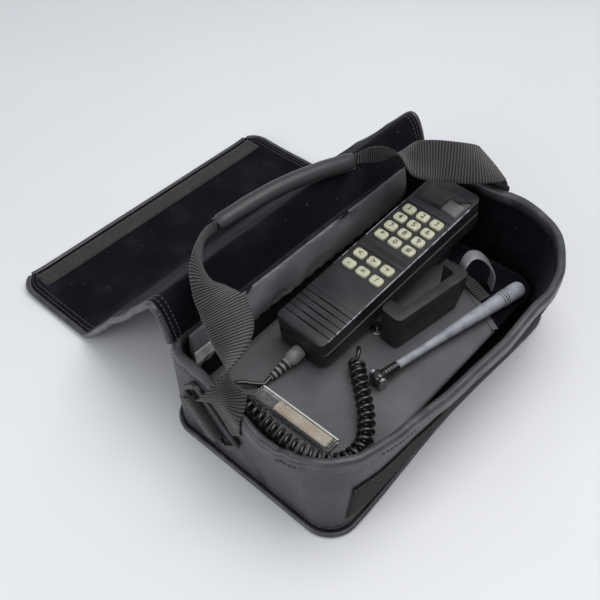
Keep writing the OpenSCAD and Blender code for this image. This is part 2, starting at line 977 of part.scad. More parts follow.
// The middle line of the curls, from the gland's side to the handset's: it lies on the cover,
// round the near corner and along the left end.
curl_z = cover_top + (curl_d + cord_d) / 2 + hair;
curl_route = [
    [-49, -14], [-61, -27], [-76, -44], [-92, -59], [-112, -70], [-133, -67], [-145, -50],
    [-149, -28], [-148, -6], [-146, 16], [-143, 34]
];
// the straight run down into the gland, and the free cable to the boot
gland_top = cover_top + 8;
gland_lead = [
    [gland_at[0], gland_at[1], gland_top], [gland_at[0], gland_at[1], gland_top + cord_d],
    [gland_at[0] - 2, gland_at[1] - 2, gland_top + 8],
    [gland_at[0] - 6, gland_at[1] - 5, gland_top + 9]
];
boot_lead = [[-145, 41, 53], [-143, 48, 51], [-137, 51, 48], [-129, 48, 45.5], [-123, 41, 44]];
rings_per_curl = 8;
cord_sides = 6;

// where the cable leaves the boot, and a point one diameter further out
function from_handset(p) =
    let (
        x = p[0] * cos(handset_tilt) - p[2] * sin(handset_tilt),
        z = p[0] * sin(handset_tilt) + p[2] * cos(handset_tilt)
    )
    handset_at + [
        x * cos(handset_turn) - p[1] * sin(handset_turn),
        x * sin(handset_turn) + p[1] * cos(handset_turn),
        z
    ];
boot_tip = from_handset([nose_x - boot_length, boot_y, boot_z]);
boot_out = from_handset([nose_x - boot_length - cord_d, boot_y, boot_z]);
boot_bend = from_handset([nose_x - boot_length - 2 * cord_d, boot_y, boot_z]);

// the curls: a circle turned round the route, opening from and closing to its middle line
function curl_point(i, count) =
    let (
        t = i / count,
        u = t * last(curl_route),
        p = smooth_at(curl_route, u),
        d = unit(smooth_at(curl_route, min(u + 0.01, last(curl_route)))
                 - smooth_at(curl_route, max(u - 0.01, 0))),
        a = 90 + 360 * i / rings_per_curl
    )
    [
        p[0] - d[1] * curl_d / 2 * cos(a),
        p[1] + d[0] * curl_d / 2 * cos(a),
        curl_z + curl_d / 2 * sin(a)
    ];
curl_points = [for (i = [0 : curls * rings_per_curl]) curl_point(i, curls * rings_per_curl)];
cord_path = concat(gland_lead, curl_points, boot_lead, [boot_bend, boot_out, boot_tip]);
cord_rings = round_rings(cord_path, cord_d / 2, cord_sides, [1, 0, 0]);

// the least gap between turns, measured between ring centres more than half a curl apart
curl_gap = min([
    for (i = [0 : len(cord_path) - 5], j = [i + 5 : min(i + 30, last(cord_path))])
        norm(cord_path[i] - cord_path[j])
]) - cord_d;
echo("least gap of the cord to itself", curl_gap);  // curly_cord

module curly_cord() {
    color(casing_black) swept(cord_rings);
}

// strain relief on the transceiver, where the cord goes in
module cord_gland() {
    color(casing_black)
        translate([gland_at[0], gland_at[1], unit_top]) {
            cylinder(cover_sheet + 1, r = gland_r);
            cylinder(gland_top - unit_top, r = gland_r - 1);
        }
}

// ---- lid -----------------------------------------------------------------------------------

// The lid is three boards joined by soft folds. Each board lies along an angle from +Y towards
// +Z: open, as drawn, and closed.
lid_x = 4;
lid_half = lid_board / 2;
rear_open = 67;
rear_closed = 150;
hinge_y = bag_width / 2 - 4.5;
hinge_z = wall_height + binding_height + hair + lid_half;
fold_y = hinge_y + rear_fold * cos(rear_open);
fold_z = hinge_z + rear_fold * sin(rear_open);
flap_gap = 3.5;      // between the closed flap and the rim
top_board = hinge_y + rear_fold * cos(rear_closed) + bag_width / 2 + front_slack
    + (binding_width - wall) / 2 + flap_gap + lid_half;
top_open = -asin((fold_z - lid_half) / top_board);
flap_y = fold_y + top_board * cos(top_open);

// places its children at a fold, with +Y along the board
module at_fold(y, z, angle) {
    translate([lid_x, y, z]) rotate([angle, 0, 0]) children();
}

// the round edge of a board, along the fold
module fold_edge() {
    rotate([0, 90, 0]) cylinder(lid_width, r = lid_half, center = true);
}

module lid_rear() {
    color(leatherette)
        at_fold(hinge_y, hinge_z, rear_open) {
            fold_edge();
            translate([-lid_width / 2, 0, -lid_half]) cube([lid_width, rear_fold, lid_board]);
            translate([0, rear_fold, 0]) fold_edge();
        }
}

module lid_top() {
    start = lid_half + 1.8;
    color(leatherette)
        at_fold(fold_y, fold_z, top_open) {
            translate([-lid_width / 2, start, -lid_half])
                cube([lid_width, top_board - start, lid_board]);
            translate([0, top_board, 0]) fold_edge();
        }
}

module lid_flap() {
    start = lid_half + 0.5;
    color(leatherette)
        at_fold(flap_y, lid_half, 0)
            translate([0, 0, -lid_half])
                linear_extrude(lid_board) {
                    translate([-lid_width / 2, start])
                        square([lid_width, drop_flap - flap_corner_r - start]);
                    translate([flap_corner_r - lid_width / 2, start])
                        square([lid_width - 2 * flap_corner_r, drop_flap - start]);
                    for (side = [-1, 1])
                        translate([side * (lid_width / 2 - flap_corner_r),
                                   drop_flap - flap_corner_r])
                            circle(flap_corner_r);
                }
}

hook_strip_t = 1.5;
hook_strip_edge = 8;
module hook_strip() {
    color(hook_brown)
        at_fold(flap_y, lid_half, 0)
            translate([0, drop_flap - hook_strip_edge - hook_strip_width / 2, lid_half])
                plate(lid_width - 2 * flap_corner_r + 18, hook_strip_width, 2, hook_strip_t);
}

// ---- strap ---------------------------------------------------------------------------------

// The strap leans back at rest. It turns about the sewn ends of its two tabs.
tab_y = 57;
tab_z = 38;
tab_reach = 22;      // from the sewn end to the ring's lower bar
ring_width = 24;     // between the middles of the ring's long bars
ring_lean = 45;      // how far the tab and the ring lean forward of upright
wire_r = ring_wire / 2;
ring_gap = 2.1;      // room for the tab's loop between the ring and the bag
ring_level = 80;     // the bag's ends lean out, and the rings stand clear of them at this height
ring_share = 0.14;   // how much of the left end's bulge there is beside its tab
ring_slack_left = lerp(left_slack, left_bulge, ring_share);
function side_x(side) =
    side * (bag_length / 2 + (side > 0 ? right_slack : ring_slack_left) * ring_level / wall_height
            + ring_gap + wire_r);

// places its children in the plane of a ring: +Y along the tab, from its sewn end
module at_ring(side) {
    translate([side_x(side), tab_y, tab_z]) rotate([90 + ring_lean, 0, 0]) children();
}

module bar(from, to) {
    d = to - from;
    translate(from)
        rotate([0, acos(d[2] / norm(d)), atan2(d[1], d[0])])
            cylinder(norm(d), r = wire_r);
}

module strap_rings() {
    half = ring_slot / 2 + wire_r;
    corners = [
        [0, tab_reach, -half], [0, tab_reach, half],
        [0, tab_reach + ring_width, half], [0, tab_reach + ring_width, -half]
    ];
    color(casing_black)
        for (side = [-1, 1])
            at_ring(side)
                for (k = [0 : 3]) {
                    bar(corners[k], corners[(k + 1) % 4]);
                    translate(corners[k]) sphere(wire_r);
                }
}

// webbing tabs: looped round the ring's lower bar and sewn to the end panels
module ring_tabs() {
    tab_w = 44;
    loop_r = wire_r + 1.9;
    inset = ring_gap + wire_r - hair / 2;
    color(webbing_grey)
        for (side = [-1, 1])
            at_ring(side)
                difference() {
                    union() {
                        translate([0, tab_reach, 0]) cylinder(tab_w, r = loop_r, center = true);
                        translate([side > 0 ? -inset : inset - 1.6, 2, -tab_w / 2])
                            cube([1.6, tab_reach - 2, tab_w]);
                    }
                    translate([0, tab_reach, 0])
                        cylinder(tab_w + 2 * over, r = wire_r + 0.1, center = true);
                }
}

// The webbing's two legs run from the rings' upper bars to the ends of the grip. Each point has
// the direction of the webbing's width beside it, and the webbing twists between them.
upper_bar_y = tab_y - (tab_reach + ring_width) * sin(ring_lean);
upper_bar_z = tab_z + (tab_reach + ring_width) * cos(ring_lean);
grip_left = [-73, 125, 142.5];
grip_right = [68, 91, 147];

// a point in the plane of a ring, beyond its upper bar
function past_bar(side, d) =
    [
        side_x(side),
        upper_bar_y - (wire_r + d) * sin(ring_lean),
        upper_bar_z + (wire_r + d) * cos(ring_lean)
    ];
left_leg_path = [
    past_bar(-1, 2), past_bar(-1, 12), [-182, 11, 93], [-183, 12, 105], [-178, 14, 117],
    [-167, 18, 126], [-154, 26, 134], [-143, 39, 139], [-136, 54, 142], [-133, 69, 145],
    [-129, 84, 152], [-120, 97, 157], [-108, 109, 157.5], [-97, 119, 153], [-87, 127, 147]
];
left_leg_wide = [
    [0, -1, -1], [0, -1, -1], [0, -1, -0.8], [0, -1, -0.4], [0.1, -1, -0.15],
    [0.35, -0.9, 0], [0.6, -0.8, 0], [0.7, -0.7, 0], [0.75, -0.63, -0.05], [0.75, -0.5, -0.3],
    [0.6, -0.3, -0.7], [0.3, -0.1, -0.95], [0.1, 0, -1], [0, 0, -1], [0, 0, -1]
];
right_leg_path = [
    past_bar(1, 2), past_bar(1, 12), [181, 6, 93], [184, 5, 106], [179, 4, 120],
    [164, 8, 129], [146, 20, 135], [128, 36, 140], [112, 50, 144], [102, 64, 147],
    [92, 76, 148], [82, 85, 147]
];
right_leg_wide = [
    [0, -1, -1], [0, -1, -1], [0, -1, -0.8], [-0.2, -1, -0.3], [-0.4, -0.9, -0.15],
    [-0.45, -0.75, -0.5], [-0.3, -0.6, -0.75], [-0.3, -0.6, -0.75], [-0.6, -0.6, -0.4],
    [-0.6, -0.5, 0.5], [-0.3, -0.2, 0.9], [0, 0, 1]
];
leg_steps = 24;

module leg(path, wide) {
    swept(ribbon_rings(
        smooth(path, leg_steps),
        [for (w = smooth(wide, leg_steps)) unit(w)],
        webbing_width, webbing
    ));
}

module strap_webbing() {
    color(webbing_grey) {
        leg(left_leg_path, left_leg_wide);
        leg(right_leg_path, right_leg_wide);
    }
}

// leatherette wrapped round the folded webbing
module grip() {
    along = grip_right - grip_left;
    flat = norm([along[0], along[1]]);
    color(leatherette)
        translate(grip_left)
            rotate([0, atan2(flat, along[2]), atan2(along[1], along[0])])
                cylinder(norm(along), d = grip_d);
}

// ---- the assembly --------------------------------------------------------------------------

front_wall();
back_wall();
left_end();
right_end();
base_panel();
rim_binding();
bottom_piping();
loop_strip();
gathered_band();
inner_cover();
card_holder();
card();
transceiver_case();
transceiver_top();
case_screws();
circuit_board();
antenna_socket();
cord_gland();
battery_pack();
hang_up_cup();
retaining_band();
lid_rear();
lid_top();
lid_flap();
hook_strip();
strap_rings();
ring_tabs();
strap_webbing();
grip();
handset_front();
handset_rear();
display_window();
display_panel();
keypad_mat();
handset_board();
earpiece();
microphone();
handset_screws();
cord_boot();
curly_cord();
antenna_elbow();
antenna_whip();
key_at(number_key(0));  // key_1
key_at(number_key(1));  // key_2
key_at(number_key(2));  // key_3
key_at(number_key(3));  // key_4
key_at(number_key(4));  // key_5
key_at(number_key(5));  // key_6
key_at(number_key(6));  // key_7
key_at(number_key(7));  // key_8
key_at(number_key(8));  // key_9
key_at(number_key(9));  // key_star
key_at(number_key(10));  // key_0
key_at(number_key(11));  // key_hash
key_at(function_key_at(0));  // function_key_1
key_at(function_key_at(1));  // function_key_2
key_at(function_key_at(2));  // function_key_3
key_at(function_key_at(3));  // function_key_4
key_at(function_key_at(4));  // function_key_5
key_at(function_key_at(5));  // function_key_6
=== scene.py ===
import math

import bmesh
import bpy
from mathutils import Matrix, Vector, noise


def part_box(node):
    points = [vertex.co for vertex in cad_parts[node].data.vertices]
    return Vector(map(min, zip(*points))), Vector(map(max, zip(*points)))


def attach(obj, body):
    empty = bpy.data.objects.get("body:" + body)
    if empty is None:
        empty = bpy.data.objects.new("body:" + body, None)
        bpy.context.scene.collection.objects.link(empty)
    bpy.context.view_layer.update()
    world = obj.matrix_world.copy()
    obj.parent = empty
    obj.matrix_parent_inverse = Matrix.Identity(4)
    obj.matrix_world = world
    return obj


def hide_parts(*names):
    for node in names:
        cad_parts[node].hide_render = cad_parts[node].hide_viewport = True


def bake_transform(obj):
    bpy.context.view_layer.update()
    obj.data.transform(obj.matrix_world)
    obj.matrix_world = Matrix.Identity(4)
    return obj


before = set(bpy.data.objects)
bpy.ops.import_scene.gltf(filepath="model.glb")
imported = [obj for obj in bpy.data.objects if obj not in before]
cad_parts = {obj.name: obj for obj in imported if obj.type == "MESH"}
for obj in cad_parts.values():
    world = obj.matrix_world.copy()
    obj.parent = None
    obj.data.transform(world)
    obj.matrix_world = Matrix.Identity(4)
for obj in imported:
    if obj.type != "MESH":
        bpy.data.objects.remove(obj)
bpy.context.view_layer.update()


# ---- Camera, table and light -------------------------------------------------------------
# The bag is seen from in front of its left end, 47 degrees down. It stands on a pale table
# that rises into a backdrop, under a broad soft box overhead and a weaker fill at the left.

camera_data = bpy.data.cameras.new("camera")
camera_data.lens = 48.2
camera_data.sensor_width = 36.0
camera = bpy.data.objects.new("camera", camera_data)
bpy.context.scene.collection.objects.link(camera)
camera.location = (-0.407, -0.265, 0.600)
look_down = math.radians(47.3)
look_along = math.radians(41.5 - 90)
camera.rotation_euler = (math.pi / 2 - look_down, 0, look_along)
bpy.context.scene.camera = camera
bpy.context.scene.view_settings.view_transform = "Standard"


def deselect():
    if bpy.context.object and bpy.context.object.mode != "OBJECT":
        bpy.ops.object.mode_set(mode="OBJECT")
    bpy.ops.object.select_all(action="DESELECT")


def select_only(piece):
    deselect()
    piece.select_set(True)
    bpy.context.view_layer.objects.active = piece


def add_node(material, kind, props=None, **inputs):
    """A new node. Each input is a value or another node's output."""
    tree = material.node_tree
    made = tree.nodes.new(kind)
    for key, value in (props or {}).items():
        setattr(made, key, value)
    for key, value in inputs.items():
        socket = made.inputs[key.replace("_", " ")]
        if isinstance(value, bpy.types.NodeSocket):
            tree.links.new(value, socket)
        else:
            socket.default_value = value
    return made


def new_material(name, **inputs):
    """A material whose shader has these values, and its shader and object coordinates."""
    made = bpy.data.materials.new(name)
    made.use_nodes = True
    shader = made.node_tree.nodes["Principled BSDF"]
    for key, value in inputs.items():
        shader.inputs[key.replace("_", " ")].default_value = value
    place = add_node(made, "ShaderNodeTexCoord").outputs["Object"]
    return made, shader, place


def colour_ramp(material, factor, *stops):
    """Colours by a factor from 0 to 1. Each stop is (position, grey or (r, g, b))."""
    ramp = add_node(material, "ShaderNodeValToRGB", Fac=factor)
    elements = ramp.color_ramp.elements
    while len(elements) < len(stops):
        elements.new(0.5)
    for element, (position, colour) in zip(elements, stops):
        element.position = position
        rgb = (colour,) * 3 if isinstance(colour, float) else colour
        element.color = (*rgb, 1)
    return ramp.outputs["Color"]


def link(material, output, socket):
    material.node_tree.links.new(output, socket)


def tint(material, shader, factor, *stops, socket="Base Color"):
    """Gives the shader a colour, or another input, by a ramp."""
    link(material, colour_ramp(material, factor, *stops), shader.inputs[socket])


def clouds(material, place, scale, detail=2.0):
    """Soft noise."""
    return add_node(material, "ShaderNodeTexNoise", Vector=place, Scale=scale, Detail=detail)


def cells(material, place, scale):
    """A pattern of small irregular cells."""
    return add_node(material, "ShaderNodeTexVoronoi", Vector=place, Scale=scale)


def paint(piece, *materials):
    """Gives a piece these materials, and keeps which face has which of them."""
    slots = piece.data.materials
    while len(slots) > len(materials):
        slots.pop()
    for n, material in enumerate(materials):
        if n < len(slots):
            slots[n] = material
        else:
            slots.append(material)


table_front = -0.9
table_back = 1.05
table_half = 2.4
sweep_radius = 0.5
sweep_steps = 12
backdrop_height = 2.2

table_profile = [(table_front, 0.0), (table_back, 0.0)]
for step in range(1, sweep_steps + 1):
    turn = math.radians(90 * step / sweep_steps)
    table_profile.append(
        (
            table_back + sweep_radius * math.sin(turn),
            sweep_radius * (1 - math.cos(turn)),
        )
    )
table_profile.append((table_back + sweep_radius, backdrop_height))
table_mesh = bpy.data.meshes.new("table")
table_mesh.from_pydata(
    [(x, y, z) for y, z in table_profile for x in (-table_half, table_half)],
    [],
    [(2 * i, 2 * i + 1, 2 * i + 3, 2 * i + 2) for i in range(len(table_profile) - 1)],
)
table = bpy.data.objects.new("table", table_mesh)
bpy.context.scene.collection.objects.link(table)
table.rotation_euler = (0, 0, look_along)
table.location = (-0.2, -0.1, -0.0004)
select_only(table)
bpy.ops.object.transform_apply(location=True, rotation=True, scale=True)
bpy.ops.object.shade_smooth()
table_white, table_shader, table_place = new_material(
    "white_table", Roughness=0.55, Specular_IOR_Level=0.3
)
table_tone = clouds(table_white, table_place, 2.2)
tint(
    table_white,
    table_shader,
    table_tone.outputs["Fac"],
    (0.3, (0.79, 0.80, 0.82)),
    (0.7, (0.83, 0.84, 0.855)),
)
paint(table, table_white)

world = bpy.data.worlds.new("studio")
bpy.context.scene.world = world
world.use_nodes = True
world.node_tree.nodes["Background"].inputs["Color"].default_value = (0.9, 0.93, 1.0, 1)
world.node_tree.nodes["Background"].inputs["Strength"].default_value = 0.45


def area_lamp(name, place, aim, size, power, colour):
    data = bpy.data.lights.new(name, "AREA")
    data.shape = "RECTANGLE"
    data.size, data.size_y = size
    data.energy = power
    data.color = colour
    lamp = bpy.data.objects.new(name, data)
    bpy.context.scene.collection.objects.link(lamp)
    lamp.location = place
    lamp.rotation_euler = (Vector(place) - Vector(aim)).to_track_quat("Z", "Y").to_euler()


area_lamp("soft_box", (0.20, -0.28, 1.4), (0.02, -0.18, 0), (1.3, 1.1), 13, (1.0, 0.99, 0.97))
area_lamp("window_fill", (-1.5, 0.25, 0.8), (-0.1, 0, 0.05), (1.1, 0.9), 8, (0.97, 0.98, 1.0))


# ---- Curly cord --------------------------------------------------------------------------
# The handset's cord leaves the gland on the transceiver, lies in two stretches of tight curls
# on the inner cover, and runs plain into the boot. Glossy black cable, 4 mm, curled at 12 mm.

cover_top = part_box("inner_cover")[1].z
cable = 0.004
curl = 0.012
curl_count = 29
rings_a_curl = 16
curl_level = cover_top + (curl + cable) / 2 + 0.0003
gland = Vector((-0.038, -0.007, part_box("cord_gland")[1].z))
curl_route = [
    (-0.049, -0.014), (-0.061, -0.027), (-0.076, -0.044), (-0.092, -0.059),
    (-0.112, -0.070), (-0.133, -0.067), (-0.145, -0.050), (-0.149, -0.028),
    (-0.148, -0.006), (-0.146, 0.016), (-0.143, 0.034),
]
plain_end = [
    (-0.145, 0.041, 0.053), (-0.143, 0.048, 0.051), (-0.137, 0.051, 0.048),
    (-0.129, 0.048, 0.0455), (-0.123, 0.041, 0.044),
]

# The handset lies tilted on its earpiece cup, so its own pieces are made flat and then placed.
handset_tilt = math.radians(8)
handset_turn = math.radians(-2.8)
nose = 0.004
handset_place = (
    Matrix.Translation((-0.073, 0.0338, cover_top + 0.00005 - nose * math.sin(handset_tilt)))
    @ Matrix.Rotation(handset_turn, 4, "Z")
    @ Matrix.Rotation(-handset_tilt, 4, "Y")
)
boot_length = 0.038
boot_root = Vector((nose, -0.002, 0.009))


def from_boot(distance):
    return handset_place @ (boot_root - Vector((distance, 0, 0)))


def smooth_at(points, u):
    """A point of the smooth line through points, with u from 0 to the last one's number."""
    i = min(int(u), len(points) - 2)
    f = u - i
    a, b = points[max(i - 1, 0)], points[i]
    c, d = points[i + 1], points[min(i + 2, len(points) - 1)]
    return 0.5 * (
        2 * b
        + (c - a) * f
        + (2 * a - 5 * b + 4 * c - d) * f * f
        + (3 * b - a - 3 * c + d) * f**3
    )


def smooth_line(points, steps):
    points = [Vector(p) for p in points]
    return [smooth_at(points, (len(points) - 1) * i / steps) for i in range(steps + 1)]


def directions(path):
    ends = len(path) - 1
    return [(path[min(i + 1, ends)] - path[max(i - 1, 0)]).normalized() for i in range(ends + 1)]


def raise_surface(material, shader, height, distance, strength=1.0, under=None):
    """Bumps the surface by a height, on top of another bump if one is given."""
    bump = add_node(
        material, "ShaderNodeBump", Height=height, Distance=distance, Strength=strength
    )
    if under:
        material.node_tree.links.new(under, bump.inputs["Normal"])
    material.node_tree.links.new(bump.outputs["Normal"], shader.inputs["Normal"])
    return bump.outputs["Normal"]


def clouded(name, scale, relief, stops, detail=2.0, **inputs):
    """A material whose colour and relief follow one soft noise. Relief: (depth, strength)."""
    made, shader, place = new_material(name, **inputs)
    noise_fac = clouds(made, place, scale, detail).outputs["Fac"]
    tint(made, shader, noise_fac, *stops)
    raise_surface(made, shader, noise_fac, *relief)
    return made


def sweep(name, rings, closed=False, capped=True, uv_size=None):
    """A mesh through rings of points. A UV map, if asked for, runs round and along in metres."""
    sides = len(rings[0])
    count = len(rings) if closed else len(rings) - 1
    faces = []
    for i in range(count):
        a, b = i * sides, (i + 1) % len(rings) * sides
        for k in range(sides):
            n = (k + 1) % sides
            faces.append((a + k, a + n, b + n, b + k))
    if capped and not closed:
        faces.append(tuple(reversed(range(sides))))
        faces.append(tuple(range((len(rings) - 1) * sides, len(rings) * sides)))
    mesh = bpy.data.meshes.new(name)
    mesh.from_pydata([p for ring in rings for p in ring], [], faces)
    if uv_size:
        around, along = uv_size
        layer = mesh.uv_layers.new(name="along")
        for face in mesh.polygons[: count * sides]:
            i, k = divmod(face.index, sides)
            corners = ((k, i), (k + 1, i), (k + 1, i + 1), (k, i + 1))
            for loop, (u, v) in zip(face.loop_indices, corners):
                layer.data[loop].uv = (u / sides * around, v / count * along)
    piece = bpy.data.objects.new(name, mesh)
    bpy.context.scene.collection.objects.link(piece)
    fix = bmesh.new()
    fix.from_mesh(mesh)
    bmesh.ops.recalc_face_normals(fix, faces=fix.faces)
    fix.to_mesh(mesh)
    fix.free()
    mesh.shade_smooth()
    return piece


def slab(name, columns, rows, front, back):
    """A thin sheet. Each of its two faces gives the point at a column and a row."""
    rings = []
    for n in range(columns + 1):
        ring = [front(n, m) for m in range(rows + 1)]
        rings.append(ring + [back(n, m) for m in range(rows, -1, -1)])
    return sweep(name, rings)


def round_rings(path, radius, sides=12, side_at_start=(0, 0, 1)):
    """Rings of a tube along a path. The radius is one number, or one for each point."""
    headings = directions(path)
    side = Vector(side_at_start)
    rings = []
    for i, (point, heading) in enumerate(zip(path, headings)):
        side = (side - heading * side.dot(heading)).normalized()
        other = heading.cross(side)
        r = radius[i] if isinstance(radius, list) else radius
        rings.append(
            [
                point + r * (math.cos(a) * side + math.sin(a) * other)
                for a in (2 * math.pi * k / sides for k in range(sides))
            ]
        )
    return rings


def path_length(path):
    return sum((b - a).length for a, b in zip(path, path[1:]))


route = [Vector((*p, 0)) for p in curl_route]
curl_points = []
for i in range(curl_count * rings_a_curl + 1):
    u = (len(route) - 1) * i / (curl_count * rings_a_curl)
    middle = smooth_at(route, u)
    ahead = smooth_at(route, min(u + 0.01, len(route) - 1))
    behind = smooth_at(route, max(u - 0.01, 0))
    heading = (ahead - behind).normalized()
    side = Vector((-heading.y, heading.x, 0))
    turn = math.radians(90 + 360 * i / rings_a_curl)
    curl_points.append(
        middle
        + side * (curl / 2 * math.cos(turn))
        + Vector((0, 0, curl_level + curl / 2 * math.sin(turn)))
    )
lead_in = smooth_line(
    [
        gland,
        gland + Vector((0, 0, cable)),
        gland + Vector((-0.002, -0.002, 0.008)),
        gland + Vector((-0.006, -0.005, 0.009)),
        curl_points[0],
    ],
    16,
)
lead_out = smooth_line(
    [curl_points[-1], *plain_end, *(from_boot(boot_length + cable * n) for n in (2, 1, 0))],
    40,
)
cord_path = lead_in[:-1] + curl_points + lead_out[1:]
curly_cord = sweep("curly_cord_loops", round_rings(cord_path, cable / 2, 10, (1, 0, 0)))

cord_black, cord_shader, cord_coords = new_material(
    "glossy_cord", Roughness=0.24, Specular_IOR_Level=0.6, Coat_Weight=0.3
)
cord_scuff = clouds(cord_black, cord_coords, 260.0)
tint(cord_black, cord_shader, cord_scuff.outputs["Fac"], (0.35, 0.008), (0.75, 0.02))
tint(
    cord_black,
    cord_shader,
    cord_scuff.outputs["Fac"],
    (0.3, 0.18),
    (0.8, 0.36),
    socket="Roughness",
)
raise_surface(cord_black, cord_shader, cord_scuff.outputs["Fac"], 0.00006, 0.4)
paint(curly_cord, cord_black)
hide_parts("curly_cord")
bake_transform(curly_cord)
print("cord length", round(path_length(cord_path), 3))


# ---- Bag shell ---------------------------------------------------------------------------
# Four foam-backed leatherette walls and a base board, sewn together at the middle of each
# corner and lined with dark velour. The walls have gone a little slack, so they swell and crease.

bag_length = 0.345
bag_width = 0.185
wall_height = 0.098
wall = 0.006
base_board = 0.004
base_radii = (0.023, 0.043, 0.023, 0.023)
rim_radii = (0.046, 0.092, 0.024, 0.024)
slack_x = (0.007, 0.0005, 0.0005, 0.0005)
slack_y = (0.005, 0.0195, 0.0, 0.0)
corner_signs = ((-1, -1), (1, -1), (1, 1), (-1, 1))
arc_steps = 16
straight_steps = 30
corner_span = arc_steps + straight_steps
outline_count = 4 * corner_span


def arc_point(corner, degrees, z, out):
    """A point on the arc of a corner, counted from the front left one."""
    share = z / wall_height
    sign_x, sign_y = corner_signs[corner % 4]
    base_radius = base_radii[corner % 4]
    radius = base_radius + (rim_radii[corner % 4] - base_radius) * share
    x = sign_x * (bag_length / 2 + share * slack_x[corner % 4] - radius)
    y = sign_y * (bag_width / 2 + share * slack_y[corner % 4] - radius)
    turn = math.radians(degrees)
    return Vector((x + (radius + out) * math.cos(turn), y + (radius + out) * math.sin(turn), z))


base_tuck = 0.005

# where the unstiffened rim has given way, round the outline: (outline point, out, down)
rim_slack = [
    (0, 0.0030, 0.0030), (5, 0.0004, 0.0010), (9, 0.0, 0.0), (14, 0.0010, 0.0015),
    (20, 0.0050, 0.0050), (28, 0.0070, 0.0095), (37, 0.0068, 0.0090), (45, 0.0036, 0.0028),
    (51, 0.0050, 0.0), (55, 0.0070, -0.0020), (59, 0.0050, -0.0022), (64, 0.0015, -0.0010),
    (70, 0.0, 0.0), (158, 0.0, 0.0), (166, 0.0012, 0.0010), (172, 0.0048, 0.0035),
    (178, 0.0072, 0.0052), (182, 0.0058, 0.0045), (184, 0.0030, 0.0030),
]


def rim_give(i):
    """How far the rim has swung out and sunk at outline point i."""
    for (a, out_a, down_a), (b, out_b, down_b) in zip(rim_slack, rim_slack[1:]):
        if a <= i <= b:
            share = (i - a) / (b - a)
            share = share * share * (3 - 2 * share)
            return out_a + (out_b - out_a) * share, down_a + (down_b - down_a) * share
    return 0.0, 0.0


def outline_point(i, z, out=0.0):
    """A point of the bag's outline at a height, out from the wall's outer face."""
    i %= outline_count
    corner, k = divmod(i, corner_span)
    corner = int(corner)
    end = 270 + 90 * corner
    swing, sink = rim_give(i)
    height = max(z / wall_height, 0)
    out += swing * height**2.5
    if arc_steps < i < corner_span:
        # the front's lower edge is drawn in towards the middle
        across = (i - arc_steps) / straight_steps
        out -= base_tuck * math.sin(math.pi * across) ** 2 * max(1 - height, 0) ** 4
    fall = Vector((0, 0, -sink * height**3))
    if k <= arc_steps:
        return arc_point(corner, end - 90 + 90 * k / arc_steps, z, out) + fall
    share = (k - arc_steps) / straight_steps
    return arc_point(corner, end, z, out).lerp(arc_point(corner + 1, end, z, out), share) + fall


def dent(point, start, end, width, depth):
    """How far a crease from start to end pulls the wall in at a point."""
    along = end - start
    share = min(max((point - start).dot(along) / along.length_squared, 0), 1)
    off = (point - start - along * share).length
    return -depth * math.exp(-((off / width) ** 2)) * math.sin(math.pi * (0.15 + 0.7 * share))


creases = [
    ((-0.1730, 0.010, 0.070), (-0.1726, -0.016, 0.010), 0.0045, 0.0030),
    ((-0.1725, 0.050, 0.060), (-0.1722, 0.076, 0.016), 0.0060, 0.0022),
    ((-0.1726, 0.022, 0.020), (-0.1722, 0.060, 0.010), 0.0060, 0.0015),
    ((-0.1700, -0.050, 0.078), (-0.1710, -0.044, 0.030), 0.0070, 0.0016),
    ((-0.1500, -0.089, 0.082), (-0.1350, -0.092, 0.040), 0.0080, 0.0014),
    ((0.1100, -0.108, 0.085), (0.1500, -0.096, 0.050), 0.0090, 0.0022),
    ((0.1730, -0.030, 0.085), (0.1728, 0.010, 0.020), 0.0080, 0.0025),
]


def swell(point):
    """The slack of a wall: a slow swell, finer waves, and the creases."""
    height = min(max(point.z / wall_height, 0), 1)
    middle = math.sin(math.pi * height)
    slow = noise.noise(point * 14) * 0.0016
    fine = noise.noise(point * 45 + Vector((7, 3, 1))) * 0.0005
    out = middle * (0.0014 + slow + fine)
    for start, end, width, depth in creases:
        out += dent(point, Vector(start), Vector(end), width, depth)
    return out


def wall_ring(z, out, slack=1.0):
    ring = []
    for i in range(outline_count):
        flat = outline_point(i, z, out)
        ring.append(outline_point(i, z, out + slack * swell(flat)))
    return ring


wall_rows = 26
inner_rows = 14
base_edge = [wall_ring(0.0, inset, 0.0) for inset in (-0.03, -0.006, -0.001)]
outer_side = [
    wall_ring(0.0015 + (wall_height - 0.0015) * i / wall_rows, 0.0) for i in range(wall_rows + 1)
]
inner_side = [
    wall_ring(wall_height - (wall_height - base_board) * i / inner_rows, -wall, 0.35)
    for i in range(inner_rows + 1)
]
bag_shell = sweep("bag_shell", base_edge + outer_side + inner_side)
outer_faces = (len(base_edge) + len(outer_side) - 1) * outline_count
for face in bag_shell.data.polygons:
    inside = face.index >= outer_faces and face.center.z > 0.001
    face.material_index = 1 if inside else 0

leatherette, leather_shader, leather_place = new_material(
    "leatherette", Roughness=0.42, Specular_IOR_Level=0.55, Coat_Weight=0.12, Coat_Roughness=0.35
)
leather_grain = cells(leatherette, leather_place, 760.0)
leather_patches = clouds(leatherette, leather_place, 16.0, 5.0)
leather_dust = clouds(leatherette, leather_place, 420.0, 3.0)
tint(
    leatherette,
    leather_shader,
    leather_patches.outputs["Fac"],
    (0.30, (0.016, 0.016, 0.019)),
    (0.62, (0.030, 0.030, 0.034)),
    (0.80, (0.050, 0.050, 0.056)),
)
tint(
    leatherette,
    leather_shader,
    leather_dust.outputs["Fac"],
    (0.3, 0.34),
    (0.75, 0.56),
    socket="Roughness",
)
leather_waves = raise_surface(
    leatherette, leather_shader, leather_patches.outputs["Fac"], 0.0022, 0.5
)
raise_surface(
    leatherette, leather_shader, leather_grain.outputs["Distance"], 0.00030, 0.55, leather_waves
)

